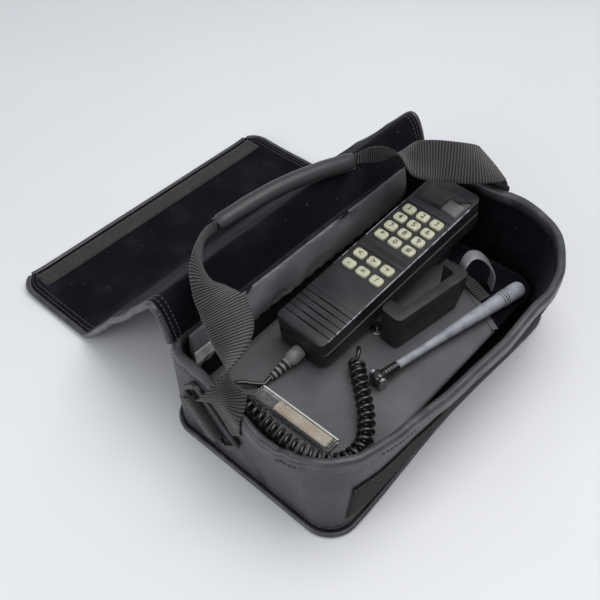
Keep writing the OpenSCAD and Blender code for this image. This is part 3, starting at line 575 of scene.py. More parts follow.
velour, velour_shader, velour_place = new_material(
    "navy_velour",
    Roughness=0.95,
    Specular_IOR_Level=0.1,
    Sheen_Weight=0.05,
    Sheen_Roughness=0.4,
    Sheen_Tint=(0.72, 0.76, 0.90, 1),
)
velour_nap = clouds(velour, velour_place, 28.0, 6.0)
velour_pile = clouds(velour, velour_place, 1900.0)
velour_lint = cells(velour, velour_place, 95.0)
velour_base = colour_ramp(
    velour,
    velour_nap.outputs["Fac"],
    (0.35, (0.0022, 0.0025, 0.0040)),
    (0.55, (0.0042, 0.0047, 0.0072)),
    (0.72, (0.0110, 0.0118, 0.0155)),
)
lint_mask = colour_ramp(velour, velour_lint.outputs["Distance"], (0.035, 1.0), (0.060, 0.0))
velour_colour = add_node(
    velour, "ShaderNodeMix", {"data_type": "RGBA"}, Factor=lint_mask
)
link(velour, velour_base, velour_colour.inputs["A"])
velour_colour.inputs["B"].default_value = (0.16, 0.165, 0.18, 1)
link(velour, velour_colour.outputs["Result"], velour_shader.inputs["Base Color"])
raise_surface(velour, velour_shader, velour_pile.outputs["Fac"], 0.0006, 0.8)

paint(bag_shell, leatherette, velour)
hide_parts("front_wall", "back_wall", "left_end", "right_end", "base_panel")
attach(bag_shell, "bag")


# ---- Stitching ---------------------------------------------------------------------------
# Thick black nylon thread in a lock stitch, 4 mm a stitch, sunk a little in the leatherette.
# One stitch is modelled, and each seam is a row of copies of it.

stitch_length = 0.0030
stitch_pitch = 0.0042
thread = 0.00035

deselect()
bpy.ops.mesh.primitive_cylinder_add(vertices=6, radius=thread, depth=stitch_length * 0.6)
stitch_pattern = bpy.context.object
bpy.ops.object.mode_set(mode="EDIT")
for end in (1, -1):
    bpy.ops.mesh.select_all(action="DESELECT")
    edit = bmesh.from_edit_mesh(stitch_pattern.data)
    for face in edit.faces:
        face.select = face.normal.z * end > 0.9
    bmesh.update_edit_mesh(stitch_pattern.data)
    bpy.ops.mesh.extrude_region_move(
        TRANSFORM_OT_translate={"value": (0, 0, end * stitch_length * 0.2)}
    )
    bpy.ops.transform.resize(value=(0.35, 0.35, 1))
bpy.ops.object.mode_set(mode="OBJECT")
stitch_shape = [v.co.copy() for v in stitch_pattern.data.vertices]
stitch_faces = [tuple(face.vertices) for face in stitch_pattern.data.polygons]
bpy.data.objects.remove(stitch_pattern)

thread_black = clouded(
    "black_thread", 1500.0, (0.0002, 0.6),
    [(0.3, (0.035, 0.036, 0.040)), (0.7, (0.085, 0.086, 0.092))],
    Roughness=0.5, Sheen_Weight=0.2,
)


def stitch_row(name, lines, body):
    """Copies of the stitch along lines of (point, normal), as one piece on a body."""
    points, faces = [], []
    for line in lines:
        run = 0.0
        for (a, up), (b, _) in zip(line, line[1:]):
            step = (b - a).length
            while run < step:
                middle = a.lerp(b, run / step)
                heading = (b - a).normalized()
                side = up.cross(heading).normalized()
                first = len(points)
                for p in stitch_shape:
                    points.append(middle + heading * p.z + side * p.x + up * p.y)
                faces.extend(tuple(first + k for k in face) for face in stitch_faces)
                run += stitch_pitch
            run -= step
    mesh = bpy.data.meshes.new(name)
    mesh.from_pydata(points, [], faces)
    mesh.shade_smooth()
    row = bpy.data.objects.new(name, mesh)
    bpy.context.scene.collection.objects.link(row)
    paint(row, thread_black)
    if body:
        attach(row, body)
    return row


def wall_line(first, last, z_at, out, steps):
    """Points on the walls with their outward normals, from outline point first to last."""
    line = []
    for n in range(steps + 1):
        i = first + (last - first) * n / steps
        z = z_at(n / steps)
        flat = outline_point(i, z)
        point = outline_point(i, z, out + swell(flat))
        line.append((point, (outline_point(i, z, 0.01) - flat).normalized()))
    return line


corner_middles = [corner_span * c + arc_steps / 2 for c in range(4)]
seam_lines = []
for middle in corner_middles:
    for side in (-0.45, 0.45):
        seam_lines.append(
            wall_line(middle + side, middle + side, lambda t: 0.012 + 0.076 * t, 0.0002, 12)
        )
stitch_row("corner_stitches", seam_lines, "bag")
stitch_row(
    "base_stitches",
    [wall_line(0, outline_count, lambda t: 0.0085, 0.0002, 4 * outline_count)],
    "bag",
)


# ---- Rim binding and base piping ---------------------------------------------------------
# A black tape of grained vinyl is folded over the raw rim and sewn through both faces.
# A round piping of the same vinyl covers the seam between the walls and the base.

binding_rise = 0.0052
binding_proud = 0.001
binding_drop = 0.0065
binding_section = [(binding_proud - 0.0004, -binding_drop), (binding_proud + 0.0002, -binding_drop)]
for step in range(9):
    turn = math.radians(180 * step / 8)
    binding_section.append(
        (
            -wall / 2 + (wall / 2 + binding_proud) * math.cos(turn),
            0.0008 + (binding_rise - 0.0008) * math.sin(turn) ** 0.8,
        )
    )
binding_section.append((-wall - binding_proud - 0.0001, -binding_drop))
binding_section.append((-wall - binding_proud + 0.0006, -binding_drop))


def outline_band(name, section, z, waves):
    """A closed band round the bag. The section holds (out, up) pairs."""
    rings = []
    for i in range(2 * outline_count):
        base = outline_point(i / 2, z)
        wave = waves * noise.noise(base * 60)
        rings.append(
            [
                outline_point(i / 2, z, out + wave) + Vector((0, 0, up + wave * 0.7))
                for out, up in section
            ]
        )
    return sweep(name, rings, closed=True)


rim_binding = outline_band("rim_tape", binding_section, wall_height, 0.0005)
binding_vinyl, binding_shader, binding_place = new_material(
    "binding_vinyl", Roughness=0.38, Specular_IOR_Level=0.55, Coat_Weight=0.15, Coat_Roughness=0.3
)
binding_grain = cells(binding_vinyl, binding_place, 1000.0)
binding_wear = clouds(binding_vinyl, binding_place, 70.0, 5.0)
tint(
    binding_vinyl,
    binding_shader,
    binding_wear.outputs["Fac"],
    (0.35, (0.026, 0.027, 0.030)),
    (0.60, (0.050, 0.051, 0.055)),
    (0.78, (0.110, 0.110, 0.116)),
)
binding_ripple = raise_surface(
    binding_vinyl, binding_shader, binding_wear.outputs["Fac"], 0.0010, 0.5
)
raise_surface(
    binding_vinyl, binding_shader, binding_grain.outputs["Distance"], 0.0002, 0.5, binding_ripple
)
paint(rim_binding, binding_vinyl)
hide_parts("rim_binding")
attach(rim_binding, "bag")

binding_line = wall_line(
    0, outline_count, lambda t: wall_height - binding_drop + 0.0018, 0.0016, 4 * outline_count
)
stitch_row("binding_stitches", [binding_line], "bag")

piping = 0.005
piping_section = [
    (
        0.00015 + piping / 2 * (1 + math.cos(math.radians(36 * k))),
        0.0003 + piping / 2 * (1 + math.sin(math.radians(36 * k))),
    )
    for k in range(10)
]
base_piping = outline_band("base_piping", piping_section, 0.0, 0.0002)
paint(base_piping, binding_vinyl)
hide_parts("bottom_piping")
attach(base_piping, "bag")


# ---- Loop strip --------------------------------------------------------------------------
# The soft half of a touch fastener: a woven tape of nylon loops sewn along the front, fuzzy
# and full of lint. The drop flap's hook strip grips it when the lid is closed.

strip_low = 0.020
strip_high = 0.065
strip_thick = 0.002
strip_first = arc_steps - 4
strip_last = corner_span + 4
strip_columns = 220
strip_rows = 16


def strip_spot(n, m):
    """The outline point and the height at a column and a row of the strip."""
    i = strip_first + (strip_last - strip_first) * n / strip_columns
    return i, strip_low + (strip_high - strip_low) * m / strip_rows


def strip_front(n, m):
    i, z = strip_spot(n, m)
    flat = outline_point(i, z)
    at_edge = m in (0, strip_rows) or n in (0, strip_columns)
    fuzz = 0.0 if at_edge else 0.0004 * noise.noise(flat * 400)
    lift = strip_thick * (0.55 if at_edge else 0.9) + fuzz
    return outline_point(i, z, swell(flat) + lift)


def strip_back(n, m):
    i, z = strip_spot(n, m)
    return outline_point(i, z, swell(outline_point(i, z)) - 0.0004)


loop_strip = slab("loop_tape", strip_columns, strip_rows, strip_front, strip_back)

loop_nylon, loop_shader, loop_place = new_material(
    "loop_nylon",
    Roughness=1.0,
    Specular_IOR_Level=0.05,
    Sheen_Weight=0.15,
    Sheen_Roughness=0.5,
)
loop_tufts = clouds(loop_nylon, loop_place, 900.0, 4.0)
loop_tufts.inputs["Roughness"].default_value = 0.8
loop_clumps = clouds(loop_nylon, loop_place, 130.0, 4.0)
loop_base = colour_ramp(
    loop_nylon,
    loop_clumps.outputs["Fac"],
    (0.35, (0.0025, 0.0025, 0.0030)),
    (0.60, (0.0065, 0.0065, 0.0080)),
    (0.78, (0.032, 0.032, 0.036)),
)
link(loop_nylon, loop_base, loop_shader.inputs["Base Color"])
loop_swell = raise_surface(loop_nylon, loop_shader, loop_clumps.outputs["Fac"], 0.0015, 0.7)
raise_surface(loop_nylon, loop_shader, loop_tufts.outputs["Fac"], 0.0010, 1.0, loop_swell)
paint(loop_strip, loop_nylon)
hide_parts("loop_strip")
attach(loop_strip, "bag")
stitch_row(
    "strip_stitches",
    [
        wall_line(strip_first + 0.4, strip_last - 0.4, lambda t, z=z: z, strip_thick, 160)
        for z in (strip_low + 0.002, strip_high - 0.002)
    ],
    "bag",
)


# ---- Gathered band, care label -----------------------------------------------------------
# A strip of thin leatherette is gathered along the inside of the back wall, under the rim. It
# puckers where the thread draws it in. A blank cloth care label is caught in its left end.

gather_low = 0.050
gather_high = 0.096
gather_columns = 200
gather_rows = 20
gather_first = 2 * corner_span + arc_steps
gather_last = 3 * corner_span
puckers = [
    (-0.040, 0.057, 0.010, 0.0035), (0.052, 0.090, 0.009, 0.0035), (0.064, 0.086, 0.008, 0.0030),
    (-0.085, 0.088, 0.010, 0.0020), (0.010, 0.064, 0.012, 0.0020), (-0.120, 0.066, 0.010, 0.0018),
]


def gather_depth(x, z):
    """How far the gathered leatherette stands off the back wall."""
    height = (z - gather_low) / (gather_high - gather_low)
    belly = 0.0035 * math.sin(math.pi * min(max(height, 0), 1)) ** 0.7
    folds = 0.5 + 0.5 * math.sin(x * 420 + 2.5 * noise.noise(Vector((x * 30, 0, z * 20))))
    tight = 0.0012 * folds * (abs(2 * height - 1) ** 3)
    rolling = 0.0018 * noise.noise(Vector((x * 24, 4, z * 40)))
    depth = 0.0012 + belly + tight + rolling
    for at_x, at_z, reach, deep in puckers:
        off = math.hypot(x - at_x, 1.4 * (z - at_z))
        depth -= deep * math.exp(-((off / reach) ** 2)) * (0.7 + 0.3 * math.cos(off * 900))
    return max(depth, 0.0006)


def gather_spot(n, m):
    """The outline point and the height at a column and a row of the gathered strip."""
    i = gather_first + (gather_last - gather_first) * n / gather_columns
    return i, gather_low + (gather_high - gather_low) * m / gather_rows


def gather_front(n, m):
    i, z = gather_spot(n, m)
    return outline_point(i, z, -wall - gather_depth(outline_point(i, z).x, z))


def gather_back(n, m):
    return outline_point(*gather_spot(n, m), -wall + 0.0004)


gathered_band = slab(
    "gathered_leatherette", gather_columns, gather_rows, gather_front, gather_back
)
gather_vinyl, gather_shader, gather_place = new_material(
    "gathered_vinyl", Roughness=0.36, Specular_IOR_Level=0.6, Coat_Weight=0.2, Coat_Roughness=0.3
)
gather_grain = cells(gather_vinyl, gather_place, 800.0)
gather_cloud = clouds(gather_vinyl, gather_place, 22.0, 5.0)
tint(
    gather_vinyl,
    gather_shader,
    gather_cloud.outputs["Fac"],
    (0.35, (0.160, 0.160, 0.170)),
    (0.70, (0.260, 0.260, 0.275)),
)
gather_folds = raise_surface(gather_vinyl, gather_shader, gather_cloud.outputs["Fac"], 0.002, 0.5)
raise_surface(
    gather_vinyl, gather_shader, gather_grain.outputs["Distance"], 0.0002, 0.4, gather_folds
)
paint(gathered_band, gather_vinyl)
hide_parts("gathered_band")
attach(gathered_band, "bag")
gather_start = outline_point(gather_first, gather_high)
gather_stop = outline_point(gather_last, gather_high)

label_left = -0.1490
label_right = -0.1150
label_low = 0.0600
label_high = 0.0760
label_columns = 24
label_rows = 8
label_rings = []
for n in range(label_columns + 1):
    x = label_left + (label_right - label_left) * n / label_columns
    column = []
    for out, rows in ((0.0012, range(label_rows + 1)), (0.0007, range(label_rows, -1, -1))):
        for m in rows:
            z = label_low + (label_high - label_low) * m / label_rows
            wave = 0.0012 * math.sin(x * 210 + z * 60) * (1 - m / (label_rows + 1))
            y = outline_point(gather_last, 0.09).y - wall - gather_depth(x, z) - out - abs(wave)
            column.append((x, y, z))
    label_rings.append(column)
care_label = sweep("care_label", label_rings)
label_cloth, label_shader, label_place = new_material(
    "label_cloth", Roughness=0.85, Sheen_Weight=0.15
)
label_weave = add_node(
    label_cloth, "ShaderNodeTexWave", {"wave_type": "BANDS"}, Vector=label_place, Scale=420.0
)
label_stain = clouds(label_cloth, label_place, 90.0)
tint(
    label_cloth,
    label_shader,
    label_stain.outputs["Fac"],
    (0.35, (0.55, 0.55, 0.52)),
    (0.65, (0.74, 0.74, 0.70)),
)
raise_surface(label_cloth, label_shader, label_weave.outputs["Fac"], 0.0002, 0.5)
paint(care_label, label_cloth)
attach(care_label, "bag")


# ---- Lid ---------------------------------------------------------------------------------
# One leatherette sheet carries three boards and folds between them. It is lined with navy
# velour, bound round its edge, and thrown back: it stands up at the hinge and falls to the table.

lid_left = 0.004 - 0.172
lid_right = 0.004 + 0.172
hinge = Vector((0, 0.088, 0.106))
crest = Vector((0, 0.100113, 0.134536))
knee = Vector((0, 0.222676, 0.0025))
lid_end = 0.3317
flap_corner = 0.024
lid_profile = [
    (0.0852, 0.1050), (0.0868, 0.1120), (0.0890, 0.1190), (0.0925, 0.1270), (0.0965, 0.1335),
    (0.1015, 0.1362), (0.1070, 0.1330), (0.1150, 0.1240), (0.1260, 0.1110), (0.1400, 0.0950),
    (0.1560, 0.0780), (0.1720, 0.0605), (0.1880, 0.0425), (0.2020, 0.0262), (0.2120, 0.0150),
    (0.2200, 0.0072), (0.2290, 0.0040), (0.2420, 0.0033), (0.2600, 0.0030), (0.2900, 0.0030),
    (0.3180, 0.0030), (lid_end - 0.0015, 0.0030),
]
lid_steps = 150
lid_line = smooth_line([(0, y, z) for y, z in lid_profile], lid_steps)
lid_normals = [
    Vector((0, -heading.z, heading.y)) for heading in directions(lid_line)
]
lid_lengths = [0.0]
for a, b in zip(lid_line, lid_line[1:]):
    lid_lengths.append(lid_lengths[-1] + (b - a).length)
lid_columns = 110


def lid_edges(y):
    """The lid's left and right edges at a distance from the hinge, with its round corners."""
    past = y - (lid_end - flap_corner)
    if past <= 0:
        return lid_left, lid_right
    inset = flap_corner - math.sqrt(max(flap_corner**2 - min(past, flap_corner) ** 2, 0))
    return lid_left + inset, lid_right - inset


def lid_wave(x, y):
    """How far the velour side rises where the lid has warped."""
    side = (x - lid_left) / (lid_right - lid_left)
    flat = min(max((y - 0.225) / 0.03, 0), 1)
    edge = min(side, 1 - side)
    warp = 0.0016 * noise.noise(Vector((x * 9, y * 9, 2)))
    curl = 0.0035 * math.exp(-((edge / 0.05) ** 2)) * flat * (0.6 + 0.4 * math.sin(y * 40))
    slope = min(max((y - 0.105) / 0.02, 0), 1) * min(max((0.215 - y) / 0.03, 0), 1)
    ridge = 0.0022 * math.exp(-(((y - 0.166) / 0.007) ** 2)) * slope
    ridge += 0.0016 * math.exp(-(((y - 0.128) / 0.006) ** 2)) * slope
    return curl + ridge * (0.6 + 0.8 * noise.noise(Vector((x * 12, 0, 5)))) + warp * (0.35 + slope)


def lid_point(n, side, depth):
    """A point of the lid at step n, share side across, and depth below its velour face."""
    spot = lid_line[n]
    left, right = lid_edges(spot.y)
    x = left + (right - left) * side
    rise = lid_wave(x, spot.y)
    return Vector((x, spot.y, spot.z)) + lid_normals[n] * (0.0022 + rise - depth) + Vector(
        (0, 0, 0.0003)
    )


lid_cuts = {
    name: min(range(lid_steps + 1), key=lambda n, y=y: abs(lid_line[n].y - y))
    for name, y in (("rear", 0.0948), ("top", 0.170))
}
lid_parts = [
    ("lid_rear_skin", 0, lid_cuts["rear"], "bag", "lid_rear_board", hinge, "lid_rear"),
    (
        "lid_top_skin", lid_cuts["rear"], lid_cuts["top"],
        "lid_rear_board", "lid_top_board", crest, "lid_top",
    ),
    (
        "lid_flap_skin", lid_cuts["top"], lid_steps,
        "lid_top_board", "lid_front_board", knee, "lid_flap",
    ),
]
lid_thick = 0.0044


def fold_with(piece):
    """Bakes a piece of the lid's placement into its mesh."""
    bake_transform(piece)


lid_velour = velour.copy()
lid_velour.name = "lid_velour"
lid_velour.node_tree.nodes["Principled BSDF"].inputs["Sheen Weight"].default_value = 0.07

for part in lid_parts:
    name, first, last = part[:3]
    rings = []
    for n in range(first, last + 1):
        ring = [lid_point(n, k / lid_columns, 0.0) for k in range(lid_columns + 1)]
        ring += [lid_point(n, k / lid_columns, lid_thick) for k in range(lid_columns, -1, -1)]
        rings.append(ring)
    skin = sweep(name, rings)
    sides = 2 * (lid_columns + 1)
    for face in skin.data.polygons:
        face.material_index = 0 if face.index % sides < lid_columns else 1
    paint(skin, lid_velour, leatherette)
    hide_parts(part[6])
    fold_with(skin)

# The edge of the lid is bound with the same tape as the rim: a small folded roll down each
# side and round the drop flap, with two rows of stitches beside it.

lid_bind = 0.0032


def lid_border(first, last, side, inset=0.0, lift=0.0):
    """Points along one side of the lid, and their normals."""
    line = []
    for n in range(first, last + 1):
        left, right = lid_edges(lid_line[n].y)
        share = inset / (right - left)
        point = lid_point(n, share if side < 0 else 1 - share, -lift)
        line.append((point, lid_normals[n]))
    return line


def bound_edge(name, points):
    """The folded tape on an edge: an oval roll, taller than it is thick."""
    path = [p for p, _ in points]
    headings = directions(path)
    rings = []
    for (point, up), heading in zip(points, headings):
        side = up.cross(heading).normalized()
        ring = []
        for k in range(10):
            turn = math.radians(36 * k)
            ring.append(point + side * lid_bind * math.cos(turn) + up * 0.0031 * math.sin(turn))
        rings.append([p - up * lid_thick / 2 for p in ring])
    tape = sweep(name, rings)
    paint(tape, binding_vinyl)
    return tape


for part in lid_parts:
    name, first, last = part[:3]
    for side, word in ((-1, "left"), (1, "right")):
        stop = last if name != "lid_flap_skin" else lid_steps - 2
        tape = bound_edge(f"{word}_tape_{part[6]}", lid_border(first, stop, side))
        fold_with(tape)
        rows = [lid_border(first, stop, side, inset, 0.0001) for inset in (0.0055, 0.0100)]
        row = stitch_row(f"{word}_stitches_{part[6]}", rows, None)
        fold_with(row)

flap_edge = [lid_point(lid_steps, k / 60, 0.0) for k in range(61)]
flap_tape = bound_edge("flap_tape", [(p, Vector((0, 0, 1))) for p in flap_edge])
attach(flap_tape, "lid_front_board")

# The hook half of the touch fastener is sewn near the flap's far edge: a stiff brown-black tape
# with rows of hooks, and a pale stitched line on its inner side.

hook_left = 0.004 - 0.157
hook_right = 0.004 + 0.157
hook_near = 0.3037
hook_far = 0.3237
hook_columns = 120
hook_rows = 6
hook_level = 0.0050


def hook_point(n, m, lift):
    """A point of the hook tape, lifted from the level of its underside."""
    x = hook_left + (hook_right - hook_left) * n / hook_columns
    y = hook_near + (hook_far - hook_near) * m / hook_rows
    return x, y, hook_level + lift + lid_wave(x, y)


def hook_front(n, m):
    at_edge = m in (0, hook_rows) or n in (0, hook_columns)
    return hook_point(n, m, 0.0013 if at_edge else 0.0020)


def hook_back(n, m):
    return hook_point(n, m, 0.0)


hook_strip = slab("hook_tape", hook_columns, hook_rows, hook_front, hook_back)
hook_nylon, hook_shader, hook_place = new_material("hook_nylon", Roughness=0.6, Sheen_Weight=0.1)
hook_waves = add_node(
    hook_nylon, "ShaderNodeTexWave", {"wave_type": "BANDS"}, Vector=hook_place, Scale=210.0
)
hook_waves.inputs["Distortion"].default_value = 0.6
hook_lint = clouds(hook_nylon, hook_place, 240.0, 4.0)
tint(
    hook_nylon,
    hook_shader,
    hook_lint.outputs["Fac"],
    (0.38, (0.012, 0.009, 0.008)),
    (0.62, (0.026, 0.020, 0.017)),
    (0.80, (0.10, 0.09, 0.085)),
)
raise_surface(hook_nylon, hook_shader, hook_waves.outputs["Fac"], 0.0008, 0.9)
paint(hook_strip, hook_nylon)
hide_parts("hook_strip")
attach(hook_strip, "lid_front_board")


# ---- Strap rings and tabs ----------------------------------------------------------------
# Each end has a black moulded ring, 5 mm thick, in a loop of ribbed nylon webbing that is sewn
# to the end panel. The ring leans forward with the strap's pull.

tab_root_y = 0.057
tab_root_z = 0.038
tab_reach = 0.022
ring_width = 0.024
ring_lean = math.radians(45)
ring_wire = 0.0025
ring_slot = 0.056
ring_x = {-1: -0.17825, 1: 0.17751}
tab_half = 0.022


def in_ring(side, out, up, across):
    """A point in a ring's own frame: out from the bag, up along the tab, and across it."""
    return Vector(
        (
            ring_x[side] + side * out,
            tab_root_y - up * math.sin(ring_lean) + across * math.cos(ring_lean),
            tab_root_z + up * math.cos(ring_lean) + across * math.sin(ring_lean),
        )
    )


black_nylon = clouded(
    "black_nylon", 300.0, (0.0003, 0.3),
    [(0.35, 0.012), (0.7, 0.035)],
    detail=4.0, Roughness=0.34, Specular_IOR_Level=0.5,
)

webbing_width = 0.038
webbing_thick = 0.002


def ribbon(name, path, wide, width, thick, bulge=0.0, gather=None):
    """A flat strip along a path, its width along the directions wide, with a UV map.

    Where it is gathered, its width is a share of its flat width, one share for each point.
    """
    headings = directions(path)
    across = 12
    rings = []
    for n, (point, toward, heading) in enumerate(zip(path, wide, headings)):
        side = (toward - heading * toward.dot(heading)).normalized()
        share_of_width = gather[n] if gather else 1.0
        up = heading.cross(side)
        ring = []
        for face_side, order in ((1, range(across + 1)), (-1, range(across, -1, -1))):
            for k in order:
                share = k / across - 0.5
                edge = 0.35 if k in (0, across) else 1.0
                bow = bulge * math.cos(math.pi * share)
                off = side * width * share_of_width * share
                ring.append(point + off + up * (face_side * edge * thick / 2 + bow))
        rings.append(ring)
    # u runs round the strip in metres, with each face taking half of it
    return sweep(name, rings, uv_size=(2 * width, path_length(path)))


webbing_nylon, web_shader, _ = new_material(
    "webbing_nylon",
    Roughness=0.62,
    Specular_IOR_Level=0.3,
    Sheen_Weight=0.25,
    Sheen_Roughness=0.4,
)
web_uv = add_node(webbing_nylon, "ShaderNodeUVMap", {"uv_map": "along"}).outputs["UV"]
web_ribs = add_node(
    webbing_nylon,
    "ShaderNodeTexWave",
    {"wave_type": "BANDS", "bands_direction": "Y"},
    Vector=web_uv,
    Scale=0.314 / 0.0021,
)
web_weave = add_node(
    webbing_nylon,
    "ShaderNodeTexWave",
    {"wave_type": "BANDS", "bands_direction": "X"},
    Vector=web_uv,
    Scale=0.314 / 0.0014,
)
web_fluff = clouds(webbing_nylon, web_uv, 240.0, 4.0)
tint(
    webbing_nylon,
    web_shader,
    web_ribs.outputs["Fac"],
    (0.10, (0.006, 0.006, 0.007)),
    (0.55, (0.034, 0.033, 0.032)),
    (0.95, (0.072, 0.070, 0.068)),
)
web_fine = raise_surface(webbing_nylon, web_shader, web_weave.outputs["Fac"], 0.0003, 0.5)
web_fuzz = raise_surface(webbing_nylon, web_shader, web_fluff.outputs["Fac"], 0.0004, 0.5, web_fine)
raise_surface(webbing_nylon, web_shader, web_ribs.outputs["Fac"], 0.0010, 1.0, web_fuzz)

half_slot = ring_slot / 2 + ring_wire
for side, word in ((-1, "left"), (1, "right")):
    ring_path = []
    round_r = 0.005
    corners = [
        (tab_reach, -half_slot, 270), (tab_reach, half_slot, 180),
        (tab_reach + ring_width, half_slot, 90), (tab_reach + ring_width, -half_slot, 0),
    ]
    for up, across, start in corners:
        centre_up = up + (round_r if up == tab_reach else -round_r)
        centre_across = across - math.copysign(round_r, across)
        for step in range(7):
            a = math.radians(start - 15 * step)
            ring_path.append(
                (centre_up + round_r * math.cos(a), centre_across + round_r * math.sin(a))
            )
    points = [in_ring(side, 0.0, up, across) for up, across in ring_path]
    closed = points + points[:1]
    rings = round_rings(closed + points[1:2], ring_wire, 14, (1, 0, 0))[1:-1]
    strap_ring = sweep(f"{word}_ring", rings, closed=True)
    paint(strap_ring, black_nylon)
    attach(strap_ring, "rings")
    if side < 0:
        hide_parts("strap_rings")

    loop = 0.0040
    tab_path = [in_ring(side, -0.0042, 0.0005, 0), in_ring(side, -0.0040, 0.010, 0)]
    tab_path.append(in_ring(side, -0.0040, tab_reach - 0.002, 0))
    for step in range(9):
        a = math.radians(-90 + 180 * step / 8)
        tab_path.append(in_ring(side, loop * math.sin(a), tab_reach + loop * math.cos(a), 0))
    tab_path.append(in_ring(side, 0.0036, tab_reach - 0.005, 0))
    tab_path.append(in_ring(side, 0.0004, 0.010, 0))
    tab_path.append(in_ring(side, -0.0008, 0.0005, 0))
    tab_path = smooth_line(tab_path, 60)
    wide = [in_ring(side, 0, 0, 1) - in_ring(side, 0, 0, 0)] * len(tab_path)
    tab = ribbon(f"{word}_tab", tab_path, wide, 2 * tab_half, 0.0018)
    paint(tab, webbing_nylon)
    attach(tab, "rings")
    if side < 0:
        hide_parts("ring_tabs")


# ---- Carry strap -------------------------------------------------------------------------
# Black ribbed nylon webbing, 38 mm wide, is sewn round the upper bar of each ring. It runs to
# the grip, where it is folded in a tube of grained leatherette that is open underneath.


def past_bar(side, distance):
    return in_ring(side, 0, tab_reach + ring_width + ring_wire + distance, 0)


grip_left = Vector((-0.073, 0.125, 0.1425))
grip_right = Vector((0.068, 0.091, 0.147))
left_leg = [
    past_bar(-1, 0.002), past_bar(-1, 0.012), (-0.182, 0.011, 0.093), (-0.183, 0.012, 0.105),
    (-0.178, 0.014, 0.117), (-0.167, 0.018, 0.126), (-0.154, 0.026, 0.134),
    (-0.143, 0.039, 0.139), (-0.136, 0.054, 0.142), (-0.133, 0.069, 0.145),
    (-0.129, 0.084, 0.149), (-0.119, 0.098, 0.1515), (-0.106, 0.110, 0.1495),
    (-0.094, 0.119, 0.1465), (-0.082, 0.124, 0.1435), (-0.066, 0.1236, 0.1425),
]
left_wide = [
    (0, -1, -1), (0, -1, -1), (0.05, -1, -1), (0.2, -0.7, -1), (0.45, -0.1, -0.9),
    (0.45, 0.55, -0.65), (0.1, 0.9, -0.35), (-0.3, 0.9, -0.15), (-0.55, 0.8, 0),
    (-0.7, 0.55, 0.25), (-0.6, 0.3, 0.7), (-0.3, 0.1, 0.95), (-0.1, 0, 1), (0, 0, 1), (0, 0, 1),
    (0, 0, 1),
]
right_leg = [
    past_bar(1, 0.002), past_bar(1, 0.012), (0.181, 0.006, 0.093), (0.184, 0.005, 0.106),
    (0.179, 0.004, 0.120), (0.164, 0.008, 0.129), (0.146, 0.020, 0.135), (0.128, 0.036, 0.140),
    (0.112, 0.050, 0.144), (0.102, 0.064, 0.147), (0.092, 0.076, 0.148), (0.080, 0.087, 0.147),
    (0.061, 0.0930, 0.1468),
]
right_wide = [
    (0, -1, -1), (0, -1, -1), (0, -1, -0.8), (-0.2, -1, -0.3), (-0.4, -0.9, -0.15),
    (-0.45, -0.75, -0.5), (-0.3, -0.6, -0.75), (-0.3, -0.6, -0.75), (-0.6, -0.6, -0.4),
    (-0.6, -0.5, 0.5), (-0.3, -0.2, 0.9), (0, 0, 1), (0, 0, 1),
]
leg_fold = {"left": (85, 140), "right": (118, 150)}     # path steps over which it is folded in
folded_width = 0.32
steps_of_leg = 160
for word, path, wide in (("left", left_leg, left_wide), ("right", right_leg, right_wide)):
    fine_path = smooth_line(path, steps_of_leg)
    fine_wide = [v.normalized() for v in smooth_line(wide, steps_of_leg)]
    # the webbing is folded in where it enters the grip
    start, stop = leg_fold[word]
    folded = [
        1 - (1 - folded_width) * min(max((n - start) / (stop - start), 0), 1)
        for n in range(steps_of_leg + 1)
    ]
    leg = ribbon(
        f"{word}_leg", fine_path, fine_wide, webbing_width, webbing_thick, 0.0008, folded
    )
    paint(leg, webbing_nylon)
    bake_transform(leg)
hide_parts("strap_webbing")

grip_path = []
grip_steps = 60
for n in range(grip_steps + 1):
    share = n / grip_steps
    point = grip_left.lerp(grip_right, share)
    point += Vector((0.0, 0.0, 0.006 * math.sin(math.pi * share)))
    point += Vector((0.25, 1, 0)).normalized() * 0.003 * math.sin(math.pi * share)
    grip_path.append(point)
grip_radius = 0.008
grip_wall = 0.0016
grip_sides = 28


def grip_arc(k):
    """The turn of point k round the grip's tube, which is open underneath."""
    return math.radians(-60 + 300 * k / grip_sides)


grip_rings = []
for n, (point, heading) in enumerate(zip(grip_path, directions(grip_path))):
    side = heading.cross(Vector((0, 0, 1))).normalized()
    up = side.cross(heading)
    end = min(n, grip_steps - n)
    puff = 1.0 + 0.05 * noise.noise(point * 60) - (0.12 if end < 2 else 0)
    ring = []
    for radius, order in (
        (grip_radius, range(grip_sides + 1)),
        (grip_radius - grip_wall, range(grip_sides, -1, -1)),
    ):
        for k in order:
            turn = grip_arc(k)
            out = side * math.cos(turn) + up * math.sin(turn) * 0.95
            ring.append(point + puff * radius * out)
    grip_rings.append(ring)
grip = sweep("grip_wrap", grip_rings)
paint(grip, leatherette)
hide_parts("grip")
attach(grip, "strap")

core = ribbon(
    "grip_core",
    [p + Vector((0, 0, -0.0035)) for p in grip_path],
    [d.cross(Vector((0, 0, 1))) for d in directions(grip_path)],
    0.0125,
    0.006,
)
paint(core, webbing_nylon)
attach(core, "strap")


# ---- Inner cover -------------------------------------------------------------------------
# A sheet of charcoal vinyl over the transceiver and the battery. It sags between them, is
# hemmed with two rows of stitches, and ends at a fold near the right, past which is velour.

cover_low, cover_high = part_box("inner_cover")
cover_corner = 0.024
cover_middle = (cover_low + cover_high) / 2
cover_half_x = (cover_high.x - cover_low.x) / 2
cover_half_y = (cover_high.y - cover_low.y) / 2
hem_left = Vector((0.072, -0.081, 0))
hem_right = Vector((0.112, -0.010, 0))


